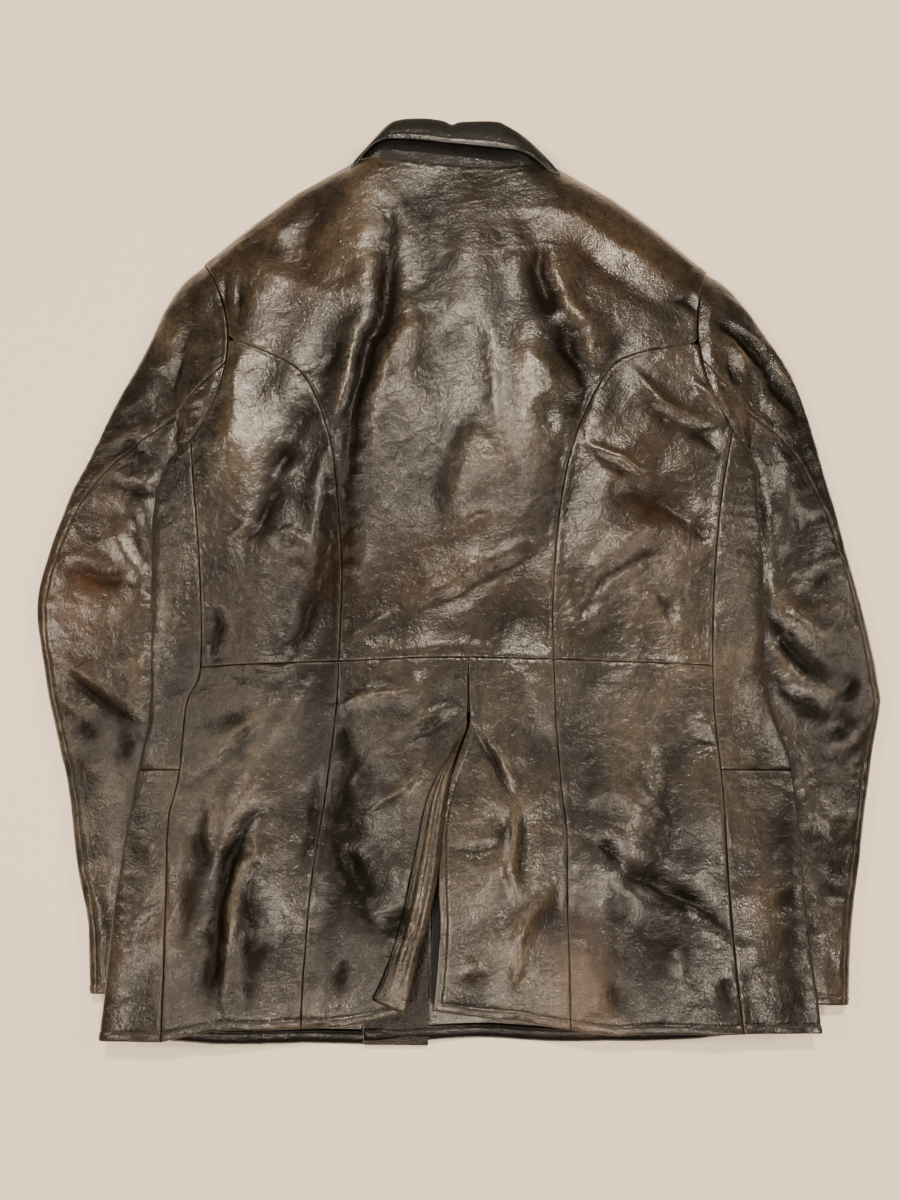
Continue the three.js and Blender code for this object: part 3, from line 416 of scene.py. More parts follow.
SLEEVE_FOLDS = {
    LEFT: [
        ([(-297, 61), (-285, 59), (-250, 48)], -8, 6, 4),
        ([(-294, 67), (-279, 65), (-256, 57)], 3, 8, 4),
        ([(-255, 80), (-250, 100), (-235, 122), (-217, 144)], 2.2, 6, 8),
        ([(-291, 126), (-276, 135), (-259, 142)], 2, 6, 6),
        ([(-300, 100), (-283, 104), (-263, 95)], 2.2, 5, 6),
        ([(-296, 91), (-279, 94), (-264, 85)], -2.4, 5, 5),
        ([(-248, 212), (-259, 174), (-274, 137)], 2.4, 12, 14),
        ([(-230, 203), (-248, 137)], -2, 9, 9),
        ([(-324, -14), (-298, -22), (-266, -27)], -3.6, 9, 6),
        ([(-328, -5), (-282, -12)], 2.2, 7, 6),
        ([(-293, 28), (-282, 6), (-267, -15)], 2.2, 8, 7),
        ([(-279, 42), (-258, -15)], -3, 8, 7),
        ([(-334, -85), (-309, -104), (-285, -118), (-250, -135)], 3.6, 9, 4.5),
        ([(-317, -110), (-274, -137), (-249, -143)], -4, 5, 9),
        ([(-324, -125), (-305, -132), (-287, -135)], 2, 4, 6),
        ([(-314, -143), (-299, -150), (-285, -162)], -2.6, 7, 7),
        ([(-301, -175), (-290, -186), (-277, -188)], 2.2, 5, 5),
        ([(-292, -206), (-280, -199), (-266, -206)], 2.2, 5, 6),
        ([(-272, -137), (-267, -162), (-269, -183)], -4, 9, 8),
        ([(-280, -283), (-272, -313), (-268, -343)], -2, 8, 8),
    ],
    RIGHT: [
        ([(220, 205), (242, 195), (265, 172), (285, 144), (300, 114)], -7.5, 9, 9),
        ([(228, 189), (250, 176), (268, 156), (287, 100)], 3.4, 6, 8),
        ([(236, 211), (263, 193), (290, 160), (306, 126)], 3, 6, 10),
        ([(230, 172), (237, 159), (239, 144)], -5, 6, 6),
        ([(238, 182), (248, 172), (252, 156)], 2.4, 3, 5),
        ([(278, 100), (286, 64), (286, 28)], 2.6, 10, 12),
        ([(300, 109), (314, 46)], -2.2, 8, 8),
        ([(266, 64), (271, -7)], 1.8, 9, 9),
        ([(295, -26), (324, -22)], -2.2, 5, 4),
        ([(281, -41), (298, -63), (316, -75)], 2.2, 9, 9),
        ([(256, -18), (268, -42), (290, -66), (318, -80)], 4.6, 8, 9),
        ([(254, -34), (264, -62), (284, -88), (312, -106)], -6.5, 9, 8),
        ([(258, -68), (272, -96), (296, -116), (318, -124)], 3.4, 7, 8),
        ([(320, -99), (331, -112), (317, -140)], -6, 9, 8),
        ([(262, -92), (275, -122), (297, -137), (326, -137)], -3.4, 7, 7),
        ([(273, -117), (293, -129), (314, -130)], -2.2, 6, 6),
        ([(295, -166), (312, -161), (343, -143)], 3.4, 3.5, 7),
        ([(306, -156), (340, -138)], -3.6, 5, 4),
        ([(317, -180), (326, -174), (333, -167)], 2.4, 4, 5),
        ([(288, -198), (298, -215), (306, -234)], 2.4, 9, 10),
        ([(272, -175), (285, -201)], 2.8, 4, 5),
        ([(274, -268), (284, -335)], -2.2, 8, 8),
        ([(299, -283), (300, -313), (298, -347)], 1.6, 6, 6),
    ],
}


# Where the hide is darker or lighter, partly its own colour and partly painted shade in valleys and deep
# folds, and where it is redder: centre, half-widths and amount.
TONE_AND_SHADE_PATCHES = [
    (256, 222, 26, 50, -1.5), (320, 60, 60, 150, -1.1), (310, -200, 50, 120, -0.8), (-300, 0, 60, 200, -0.4),
    (-285, 190, 30, 60, -0.7), (60, 160, 20, 50, 0.4), (-200, -340, 60, 40, -0.4), (0, 330, 60, 20, 0.2),
    (285, -85, 25, 14, -0.7), (-94, 70, 13, 40, -0.9), (-99, 10, 14, 45, -1.1), (-98, -50, 12, 35, -0.9),
    (-245, 70, 30, 60, -0.8), (165, -310, 42, 75, -0.9), (100, -345, 22, 45, 1.0),
    (-90, -235, 20, 70, -0.8), (-150, -330, 55, 60, -0.5), (-112, 10, 18, 80, -0.7), (-70, 150, 18, 90, -0.6),
    (78, 215, 20, 60, -0.5), (130, 270, 60, 40, 0.5), (-130, 270, 60, 45, 0.4), (160, 60, 45, 90, 0.3),
    (240, -270, 14, 70, 0.3), (20, -230, 60, 70, 0.35), (-200, -150, 30, 40, -0.2), (0, 110, 80, 130, -0.4),
]
WARM_PATCHES = [
    (-318, -45, 40, 55, 0.75), (-300, 60, 40, 60, 0.1), (100, -345, 22, 45, 0.55), (240, -270, 12, 70, 0.15),
    (-215, -300, 20, 60, 0.25), (160, 60, 45, 90, 0.3), (-20, -20, 120, 40, 0.3), (130, 270, 70, 40, 0.35),
    (-130, 260, 70, 50, 0.3),
]


# Where the hide is crumpled into fine creases.
CRINKLE_PATCHES = [
    (-195, -130, 45, 45, 1.0), (-190, -345, 60, 30, 0.8), (-150, -20, 40, 60, 0.6), (-60, 60, 40, 90, 0.7),
    (40, 60, 40, 60, 0.7), (-290, -190, 35, 80, 1.0), (325, -120, 30, 90, 0.9), (235, -40, 20, 70, 0.9),
    (-235, 20, 20, 80, 0.7), (-90, -150, 60, 30, 0.7), (150, -20, 40, 40, 0.7), (-300, 100, 40, 60, 0.6),
    (100, -330, 60, 40, 0.6), (-60, -330, 40, 30, 0.6), (0, 310, 70, 30, 0.4), (110, -130, 90, 30, 0.5),
    (290, 150, 30, 70, 0.6), (-200, -230, 40, 60, 0.5),
]


def crinkled(x, y):
    return np.clip(patches(x, y, CRINKLE_PATCHES), 0, 1.2)


def dye_shade_and_rub(relief):
    """Darker in the valleys, partly dye and wax and partly painted shade, and lighter on the ridges, which
    are rubbed.
    """
    return 0.2 * np.clip(relief, 0, 3) + 0.22 * np.clip(relief, -5, 0)


def patches(x, y, table):
    total = np.zeros_like(x)
    for px, py, rx, ry, amount in table:
        total += amount * np.exp(-((x - px) / rx) ** 2 - ((y - py) / ry) ** 2)
    return total


# ---------------------------------------------------------------- heights of the layers
def from_shoulder(x, y):
    """How far in from the shoulder line a point is."""
    out = np.zeros_like(x)
    for side in (LEFT, RIGHT):
        tip, neck = SEAMS[side]["shoulder"][0], SEAMS[side]["shoulder"][-1]
        long = np.hypot(*(neck - tip))
        signed = ((neck[0] - tip[0]) * (tip[1] - y) - (neck[1] - tip[1]) * (tip[0] - x)) / long
        bulge = np.interp(np.clip((x - tip[0]) / (neck[0] - tip[0]), 0, 1), [0, 0.35, 0.65, 1], [0, 5, 6, 0])
        out = np.where((x < 0) == (side < 0), -side * signed + bulge, out)
    return out


def back_base(x, y):
    """Height of the back without its folds: a low crown that thins towards the hem and the shoulders."""
    hem = ramp(y, -100, -390)
    middle = BACK_MIDDLE_Z - 13 * hem
    sides = BACK_SIDE_Z - 3 * hem
    flat = middle + (sides - middle) * np.minimum(1, (x / BACK_HALF_WIDTH) ** 2)
    q = np.clip(from_shoulder(x, y) / SHOULDER_ROUND, 0, 1)
    return SHOULDER_EDGE_Z + (flat - SHOULDER_EDGE_Z) * np.sqrt(1 - (1 - q) ** 2)


def back_relief(x, y):
    """Folds, soft waves and fine creases of the back. They are shallow over the layers of the vent."""
    soft = 1.5 * fractal(x, y, 95, 0, 2) + 0.45 * fractal(x, y, 38, 2, 2)
    ripple = 2.6 * noise(x + 8 * noise(x, y, 60, 1), y, 36, 5, 1.45, 3.0)
    soft = soft + ripple + 0.7 * noise(x, y, 21, 8, 0.7, 2.5)
    where = rise(noise(x, y, 60, 6), -0.25, 0.5)
    fine = 0.35 * wrinkles(x, y, 13, 1, 1.2) * where + 0.2 * wrinkles(x, y, 7, 4, 0.4) * (1 - 0.6 * where)
    calm = rise(from_shoulder(x, y), 0, 26)
    creases = wrinkles(x, y, 11, 7, 0.6, 3.4) + 0.5 * wrinkles(x, y, 7, 9, 2.2, 3.4)
    crinkle = 0.65 * crinkled(x, y) * (creases - 0.4)
    relief = (folds(x, y, BACK_FOLDS) + soft) * calm + (fine + crinkle) * (0.4 + 0.6 * calm)
    depth = 3.0 + 12 * np.maximum(ramp(x, 26, 52), np.maximum(ramp(x, -18, -40), ramp(y, VENT_TOP_Y, -120)))
    return np.where(relief < 0, -depth * np.tanh(-relief / depth), relief)


def back_top(x, y):
    return back_base(x, y) + back_relief(x, y)


def front_floor(x, y):
    """Height of what lies under the fronts: the folded-in sleeves, the lapels and the buttons."""
    sleeve = SLEEVE_CLEARANCE * ramp(abs(x), 118, 186) * rise(y, 165, 62)
    lapels = rise(y, 6, 40) * LAPEL_LIFT
    buttons = (1 - ramp(abs(x - CENTRE_FRONT_X), 24, 62)) * rise(y, -340, -250) * rise(y, 110, 40)
    shoulder = 1 - ramp(from_shoulder(x, y), 0, 30)
    lift = SHOULDER_EDGE_Z - 3.2 - LAPEL_LIFT - 0.5
    return np.maximum(sleeve, lapels + (FRONT_LIFT - lapels) * buttons) + lift * shoulder


def front_relief(side, x, y):
    """Shallow folds of a front, where nothing lies against it."""
    away = rise(abs(x - CENTRE_FRONT_X), 60, 95) * rise(from_shoulder(x, y), 12, 40) * rise(y, -350, -310)
    away = away * (1 - rise(abs(x), 150, 172) * rise(y, 170, 120))
    return 0.9 * rise(fractal(x, y, 60, 5, 2), -0.9, 0.9) * away * rise(x * side, 0, 1)


def front_under(side, x, y):
    """Underside of a front. The right one lies on the left one along the centre front."""
    under = front_floor(x, y) + front_relief(side, x, y)
    if side == RIGHT:
        lap_end = CENTRE_FRONT_X + OVERLAP
        under = under + OVERLAP_LIFT * (1 - ramp(x, lap_end + 6, lap_end + 42))
    return under


# ---------------------------------------------------------------- meshes
def blur(values, rounds):
    for _ in range(rounds):
        for axis in (0, 1):
            up, down = np.roll(values, 1, axis), np.roll(values, -1, axis)
            if axis == 0:
                up[0], down[-1] = values[0], values[-1]
            else:
                up[:, 0], down[:, -1] = values[:, 0], values[:, -1]
            values = (up + down + 2 * values) / 4
    return values


def linked(name, data):
    obj = bpy.data.objects.new(name, data)
    bpy.context.scene.collection.objects.link(obj)
    return obj


def make_mesh(name, position, faces, material, attributes=None):
    """A closed mesh, in metres from millimetres, facing out."""
    position = np.asarray(position, float) * MM
    faces = [np.asarray(f) for f in faces]
    volume = 0.0
    for f in faces:
        a, b, c = position[f[:, 0]], position[f[:, 1]], position[f[:, 2]]
        volume += np.einsum("ij,ij->i", a, np.cross(b, c)).sum()
        if f.shape[1] == 4:
            d = position[f[:, 3]]
            volume += np.einsum("ij,ij->i", a, np.cross(c, d)).sum()
    if volume < 0:
        faces = [f[:, ::-1] for f in faces]
    mesh = bpy.data.meshes.new(name)
    mesh.from_pydata(position.tolist(), [], [tuple(q) for f in faces for q in f.tolist()])
    mesh.shade_smooth()
    rest = mesh.attributes.new("rest", "FLOAT_VECTOR", "POINT")
    rest.data.foreach_set("vector", position.astype(np.float32).ravel())
    x, y = position[:, 0] / MM, position[:, 1] / MM
    made = {"tone": patches(x, y, TONE_AND_SHADE_PATCHES), "warm": patches(x, y, WARM_PATCHES)}
    made["crinkle"] = crinkled(x, y)
    made.update(attributes or {})
    for key, values in made.items():
        layer = mesh.attributes.new(key, "FLOAT", "POINT")
        layer.data.foreach_set("value", np.asarray(values, np.float32).ravel())
    mesh.materials.append(material)
    return linked(name, mesh)


def shell_faces(rows, columns):
    """Faces of two grids joined round their rims."""
    j, i = np.mgrid[0:rows - 1, 0:columns - 1]
    at = lambda side, jj, ii: side * rows * columns + jj * columns + ii
    top = np.stack([at(0, j, i), at(0, j, i + 1), at(0, j + 1, i + 1), at(0, j + 1, i)], -1).reshape(-1, 4)
    low = np.stack([at(1, j, i), at(1, j + 1, i), at(1, j + 1, i + 1), at(1, j, i + 1)], -1).reshape(-1, 4)
    rim = ([(0, k) for k in range(columns)] + [(k, columns - 1) for k in range(1, rows)]
           + [(rows - 1, k) for k in range(columns - 2, -1, -1)] + [(k, 0) for k in range(rows - 2, 0, -1)])
    a = np.array(rim)
    b = np.roll(a, -1, axis=0)
    wall = np.stack([at(1, *a.T), at(1, *b.T), at(0, *b.T), at(0, *a.T)], 1)
    return [top, low, wall]


def shell(name, outer, inner, material, **layers):
    """A sheet between two grids. The layers are values at the points of the outer one."""
    rows, columns = outer.shape[:2]
    position = np.concatenate([outer.reshape(-1, 3), inner.reshape(-1, 3)])
    inside = np.zeros(rows * columns)
    attributes = {key: np.concatenate([values.ravel(), inside]) for key, values in layers.items()}
    return make_mesh(name, position, shell_faces(rows, columns), material, attributes)


def rim_distance(grid, sides="lrbt"):
    """How far each grid point is from those of its four edges that are sewn or turned."""
    rows = np.cumsum(np.linalg.norm(np.diff(grid, axis=0), axis=2), axis=0)
    rows = np.concatenate([np.zeros((1, grid.shape[1])), rows])
    columns = np.cumsum(np.linalg.norm(np.diff(grid, axis=1), axis=2), axis=1)
    columns = np.concatenate([np.zeros((grid.shape[0], 1)), columns], 1)
    all_four = {"l": columns, "r": columns[:, -1:] - columns, "b": rows, "t": rows[-1:] - rows}
    return np.minimum.reduce([all_four[k] for k in sides])


SEAM_DEPTH = 0.9
SEAM_RADIUS = 1.1
HEM_STITCH = 7
WEAR_AND_SHADE_SPREAD = 14


def seam_roll(d):
    """How far a panel drops beside its seam, less the low ridge of the allowance glued under it."""
    roll = SEAM_DEPTH * (1 - np.sqrt(1 - (1 - np.clip(d / SEAM_RADIUS, 0, 1)) ** 2))
    return roll - 0.2 * np.exp(-((d - 3.2) / 2.0) ** 2)


def turned_edge(d):
    """A hem: the turned band is a little thicker, and a stitched line pulls it down."""
    return 0.35 * rise(d, 9.0, 6.5) - 0.6 * np.exp(-((d - HEM_STITCH) / 0.7) ** 2)


def pucker(x, y, d, height):
    """Small waves that the sewing thread pulls into the leather along a seam."""
    return height * noise(x, y, 7, 8) * np.exp(-d / 7) * (1 - np.exp(-d / 1.2))


def seam_edge(d):
    """Where a seam's edge is rubbed, as a share of one."""
    return np.exp(-((d - 1.3) / 0.8) ** 2)


def flat_panel(name, grid, height, thickness=LEATHER, facing=1, hem=""):
    """A panel on a plan grid. facing is 1 if its good side is up and -1 if it is down."""
    x, y = grid[..., 0], grid[..., 1]
    z = height(x, y)
    d = rim_distance(grid)
    good = z + facing * (pucker(x, y, d, 0.45) - seam_roll(d))
    if hem:
        good = good + facing * turned_edge(rim_distance(grid, hem))
    outer = np.dstack([x, y, good])
    inner = np.dstack([x, y, z - facing * thickness])
    # Height above the blurred surface: ridges are rubbed lighter, and the hollows get painted shade.
    wear = good - blur(good, WEAR_AND_SHADE_SPREAD)
    tone = patches(x, y, TONE_AND_SHADE_PATCHES)
    if facing > 0:
        inner[..., 2] = np.minimum(inner[..., 2], good - THINNEST)
        # Painted shade: valleys darkened by their depth below the base, and a dark band along the rolled
        # shoulder edge.
        tone = tone + dye_shade_and_rub(z - back_base(x, y)) - 0.8 * np.exp(-(from_shoulder(x, y) / 6) ** 2)
    else:
        inner[..., 2] = np.maximum(inner[..., 2], good + THINNEST)
    return shell(name, outer, inner, SHELL, wear=facing * wear, edge=seam_edge(d), tone=tone)


def ring_mesh(name, rings, material, wear, tone=None):
    """A closed piece through rings of points, capped at both ends. Its wear, which rubs ridges lighter and
    paints shade into hollows, is one value or one a point.
    """
    rings = np.asarray(rings, float)
    count, n = rings.shape[:2]
    k, i = np.mgrid[0:count - 1, 0:n]
    j = (i + 1) % n
    walls = np.stack([k * n + i, k * n + j, (k + 1) * n + j, (k + 1) * n + i], -1).reshape(-1, 4)
    middle = np.array([rings[0].mean(0), rings[-1].mean(0)])
    position = np.concatenate([rings.reshape(-1, 3), middle])
    m = np.arange(n)
    o = (m + 1) % n
    last = (count - 1) * n
    fan = lambda hub, p, q: np.stack([np.full(n, hub), p, q], 1)
    caps = np.concatenate([fan(count * n, o, m), fan(count * n + 1, last + m, last + o)])
    attributes = {"wear": np.append(np.broadcast_to(wear, (count, n)), [0, 0])}
    if tone is not None:
        attributes["tone"] = np.full(len(position), tone)
    return make_mesh(name, position, [walls, caps], material, attributes)


def settle(obj, body, slot, *nodes):
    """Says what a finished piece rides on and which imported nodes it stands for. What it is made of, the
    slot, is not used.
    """
    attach(obj, body)
    if nodes:
        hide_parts(*nodes)


# ---------------------------------------------------------------- materials
class Shader:
    """A material and short ways to add and join its nodes."""

    def __init__(self, name):
        self.material = bpy.data.materials.new(name)
        self.material.use_nodes = True
        self.tree = self.material.node_tree
        self.tree.nodes.clear()
        self.out = self.add("OutputMaterial")
        self.bsdf = self.add("BsdfPrincipled")
        self.join(self.bsdf.outputs[0], self.out.inputs[0])

    def add(self, kind, **settings):
        node = self.tree.nodes.new("ShaderNode" + kind)
        for key, value in settings.items():
            setattr(node, key, value)
        return node

    def join(self, a, b):
        self.tree.links.new(a, b)

    def set(self, node, **values):
        for key, value in values.items():
            node.inputs[key.replace("_", " ")].default_value = value
        return node

    def noise(self, where, scale, detail=3.0, roughness=0.55, distortion=0.0):
        node = self.add("TexNoise")
        self.set(node, Scale=scale, Detail=detail, Roughness=roughness, Distortion=distortion)
        self.join(where, node.inputs["Vector"])
        return node.outputs[0]

    def math(self, kind, a, b, clamp=False):
        node = self.add("Math", operation=kind, use_clamp=clamp)
        for value, socket in ((a, node.inputs[0]), (b, node.inputs[1])):
            if isinstance(value, (int, float)):
                socket.default_value = value
            else:
                self.join(value, socket)
        return node.outputs[0]

    def plus(self, a, b):
        return self.math("ADD", a, b)

    def times(self, a, b, clamp=False):
        return self.math("MULTIPLY", a, b, clamp)

    def span(self, value, low, high, to_low=0.0, to_high=1.0):
        node = self.add("MapRange", interpolation_type="SMOOTHSTEP")
        self.join(value, node.inputs[0])
        for k, number in enumerate((low, high, to_low, to_high)):
            node.inputs[k + 1].default_value = number
        return node.outputs[0]

    def ramp(self, value, stops):
        node = self.add("ValToRGB")
        self.join(value, node.inputs[0])
        elements = node.color_ramp.elements
        while len(elements) < len(stops):
            elements.new(0.5)
        for element, (place, colour) in zip(elements, stops):
            element.position = place
            element.color = (*colour, 1)
        return node.outputs[0]

    def mix(self, share, base, colour):
        """A colour laid over another one. The share and the base are sockets."""
        node = self.add("Mix", data_type="RGBA")
        self.join(share, node.inputs[0])
        self.join(base, node.inputs[6])
        node.inputs[7].default_value = (*colour, 1)
        return node.outputs[2]

    def attribute(self, name, output="Fac"):
        return self.add("Attribute", attribute_name=name).outputs[output]

    def bump(self, height, distance, strength, under=None):
        node = self.set(self.add("Bump"), Strength=strength, Distance=distance)
        self.join(height, node.inputs["Height"])
        if under is not None:
            self.join(under, node.inputs["Normal"])
        return node.outputs[0]


RUST = (0.07, 0.034, 0.014)


def leather(name, stops, rubbed=None, roughness=(0.3, 0.5), grain=1.0, own_rest=True):
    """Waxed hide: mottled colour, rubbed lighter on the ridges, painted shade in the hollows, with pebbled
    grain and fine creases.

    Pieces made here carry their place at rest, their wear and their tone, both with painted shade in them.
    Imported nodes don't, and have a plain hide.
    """
    s = Shader(name)
    where = s.attribute("rest", "Vector") if own_rest else s.add("TexCoord").outputs["Object"]
    broad = s.noise(where, 9, 4, 0.6, 0.4)
    cloud = s.noise(where, 42, 5, 0.62, 0.8)
    speck = s.noise(where, 260, 4, 0.7)
    value = s.plus(s.times(broad, 0.5), s.times(cloud, 0.32))
    stretched = s.set(s.add("Mapping"), Scale=(1.0, 0.14, 1.0))
    s.join(where, stretched.inputs["Vector"])
    streak = s.noise(stretched.outputs["Vector"], 95, 3, 0.6)
    pores = s.noise(where, 640, 3, 0.65)
    for fine, weight in ((speck, 0.34), (streak, 0.18), (pores, 0.4)):
        value = s.plus(value, s.times(s.math("SUBTRACT", fine, 0.5), weight))
    value = s.plus(value, 0.09)
    if own_rest:
        tone = s.attribute("tone")
        wear = s.attribute("wear")
        # Painted shade: the tone values darken valleys and deep folds besides the hide's own lighter and
        # darker patches, and low wear values darken the hollows.
        value = s.plus(value, s.times(tone, 0.17))
        value = s.plus(value, s.span(wear, -1.6, 0.1, -0.2, 0.0))
    colour = s.ramp(value, stops)
    if own_rest:
        ridge = s.times(s.span(wear, 0.4, 2.4), s.span(speck, 0.35, 0.7), True)
        seam = s.times(s.attribute("edge"), s.span(cloud, 0.35, 0.65))
        colour = s.mix(s.times(s.plus(ridge, s.times(seam, 0.4)), 0.4, True), colour, rubbed)
        warm = s.times(s.attribute("warm"), s.span(cloud, 0.3, 0.7, 0.4, 1.0), True)
        colour = s.mix(warm, colour, RUST)
    s.join(colour, s.bsdf.inputs["Base Color"])
    matt = s.span(s.plus(s.times(cloud, 0.6), s.times(speck, 0.4)), 0.3, 0.7, *roughness)
    s.join(matt, s.bsdf.inputs["Roughness"])
    cells = s.set(s.add("TexVoronoi", feature="SMOOTH_F1"), Scale=640.0, Smoothness=0.5)
    s.join(where, cells.inputs["Vector"])
    heights = ((s.noise(where, 55, 3, 0.5, 0.5), 0.0013), (s.noise(where, 170, 5, 0.6, 1.2), 0.0006),
               (s.noise(where, 520, 3, 0.6), 0.00034), (cells.outputs["Distance"], 0.0002))
    crumple = s.plus(s.times(s.attribute("crinkle"), 1.1), 0.8)
    normals = [None]
    for height, distance in heights:
        height = s.times(height, crumple) if own_rest else height
        normals.append(s.bump(height, distance * grain, 0.7, normals[-1]))
    s.join(normals[-1], s.bsdf.inputs["Normal"])
    s.join(normals[3], s.bsdf.inputs["Coat Normal"])
    if own_rest:
        shine = s.span(s.plus(wear, s.times(tone, 0.6)), -1.8, 0.2, 0.2, 1.0)
        s.join(s.times(shine, 0.26), s.bsdf.inputs["Specular IOR Level"])
        s.join(s.times(shine, s.span(broad, 0.36, 0.62, 0.25, 0.62)), s.bsdf.inputs["Coat Weight"])
    else:
        s.set(s.bsdf, Specular_IOR_Level=0.3, Coat_Weight=0.1)
    s.set(s.bsdf, Coat_Roughness=0.15)
    return s.material


def cloth(name, colour, scale=900.0, sheen=0.3, roughness=0.75):
    """Woven lining or thread: two crossed waves make the weave."""
    s = Shader(name)
    where = s.add("TexCoord").outputs["Object"]
    waves = []
    for axis in ("X", "Y"):
        wave = s.set(s.add("TexWave", bands_direction=axis), Scale=scale, Distortion=0.6, Detail=1.0)
        s.join(where, wave.inputs["Vector"])
        waves.append(wave.outputs["Fac"])
    weave = s.times(*waves)
    low = tuple(0.55 * c for c in colour)
    uneven = s.plus(s.times(weave, 0.5), s.times(s.noise(where, 60), 0.5))
    s.join(s.ramp(uneven, [(0.1, low), (0.9, colour)]), s.bsdf.inputs["Base Color"])
    s.set(s.bsdf, Roughness=roughness, Sheen_Weight=sheen, Sheen_Roughness=0.5)
    s.join(s.bump(weave, 0.0002, 0.6), s.bsdf.inputs["Normal"])
    return s.material


def horn(name):
    """Polished horn for the buttons, streaked lighter."""
    s = Shader(name)
    where = s.add("TexCoord").outputs["Object"]
    streak = s.noise(where, 120, 5, 0.6, 3.0)
    stops = [(0.35, (0.012, 0.007, 0.004)), (0.6, (0.05, 0.028, 0.014)), (0.8, (0.12, 0.075, 0.04))]
    s.join(s.ramp(streak, stops), s.bsdf.inputs["Base Color"])
    s.set(s.bsdf, Roughness=0.24, Coat_Weight=0.4, Coat_Roughness=0.08)
    s.join(s.bump(s.noise(where, 500), 0.0001, 0.4), s.bsdf.inputs["Normal"])
    return s.material


SHELL = leather(
    "shell_leather",
    [(0.3, (0.0045, 0.0031, 0.0018)), (0.44, (0.0085, 0.0058, 0.0032)), (0.56, (0.0238, 0.0161, 0.0082)),
     (0.75, (0.068, 0.0478, 0.0255))],
    rubbed=(0.16, 0.12, 0.072), roughness=(0.27, 0.43))
COLLAR = leather(
    "collar_leather",
    [(0.3, (0.0015, 0.0015, 0.0012)), (0.5, (0.004, 0.0039, 0.003)), (0.8, (0.015, 0.0135, 0.0095))],
    rubbed=(0.06, 0.052, 0.04), roughness=(0.42, 0.6))
FACING = leather(
    "facing_leather",
    [(0.3, (0.003, 0.0022, 0.0016)), (0.55, (0.01, 0.007, 0.0045)), (0.8, (0.028, 0.019, 0.012))],
    rubbed=(0.07, 0.05, 0.035))


def plain_leather(name, dark, light, grain):
    return leather(name, [(0.35, dark), (0.7, light)], grain=grain, own_rest=False)


PLAIN_SHELL = plain_leather("shell_leather_plain", (0.005, 0.0033, 0.002), (0.05, 0.034, 0.019), 2.0)
PLAIN_FACING = plain_leather("facing_leather_plain", (0.003, 0.002, 0.0014), (0.022, 0.0145, 0.0085), 2.5)
PLAIN_COLLAR = plain_leather("collar_leather_plain", (0.002, 0.002, 0.0015), (0.012, 0.0105, 0.0075), 2.0)
LINING = cloth("lining_cloth", (0.016, 0.015, 0.017))
THREAD = cloth("sewing_thread", (0.02, 0.014, 0.01), 2500.0, 0.1, 0.6)
LABEL = cloth("label_cloth", (0.2, 0.17, 0.13), 1400.0)
HORN = horn("button_horn")


# ---------------------------------------------------------------- the back
def panel_grid(left, right, lower, upper, spacing=2.4):
    """A grid between four seams. The lower and upper ones start and end where the side ones do."""
    lower = np.vstack([left[:1], lower[1:-1], right[:1]])
    upper = np.vstack([left[-1:], upper[1:-1], right[-1:]])
    us = seam_shares(max(length(lower), length(upper)), spacing)
    vs = seam_shares(max(length(left), length(right)), spacing)
    return coons(left, right, lower, upper, us, vs)


def line(*points):
    return np.array(points, float)


def back_panel(piece, node, left, right, lower, upper, hem=""):
    grid = panel_grid(left, right, lower, upper)
    settle(flat_panel(piece, grid, back_top, hem=hem), "torso", "shell_leather", node)


def build_back():
    l, r = SEAMS[LEFT], SEAMS[RIGHT]
    side_line = lambda s: np.vstack([s["princess"], s["armhole_high"][1:], s["shoulder"][1:]])
    low = waist_part(PRINCESS_X[LEFT], PRINCESS_X[RIGHT])
    back_panel("back_center", "back_center_panel", side_line(l), side_line(r), low, NECK)
    for side, s in SEAMS.items():
        name = NAME[side]
        low = waist_part(*sorted((WAIST_END_X[side], PRINCESS_X[side])))
        outer = np.vstack([s["side_bodice"], s["armhole_low"]])
        pair = (outer, s["princess"])[::-side]
        back_panel(f"back_side_{name}", f"back_side_panel_{name}", *pair, low, line(pair[0][-1], pair[1][-1]))
        outer = np.vstack([s["side_skirt"], s["side_hip"][1:]])
        pair = (outer, s["princess_skirt"])[::-side]
        back_panel(f"skirt_side_{name}", f"skirt_side_panel_{name}", *pair, s["hem"], low, "b")
    fold, edge = (np.vstack([seam, CENTRE_WAIST]) for seam in (VENT_FOLD, VENT_EDGE))
    low = waist_part(PRINCESS_X[LEFT], CENTRE_BACK_X)
    back_panel("skirt_center_left", "skirt_center_panel_left",
               l["princess_skirt"], fold, l["hem_centre"], low, "b")
    low = waist_part(CENTRE_BACK_X, PRINCESS_X[RIGHT])
    back_panel("skirt_center_right", "skirt_center_panel_right",
               edge, r["princess_skirt"], r["hem_centre"], low, "bl")


# ---------------------------------------------------------------- curved shells
def normals(grid):
    n = np.cross(np.gradient(grid, axis=1), np.gradient(grid, axis=0))
    return n / np.maximum(np.linalg.norm(n, axis=2, keepdims=True), 1e-9)


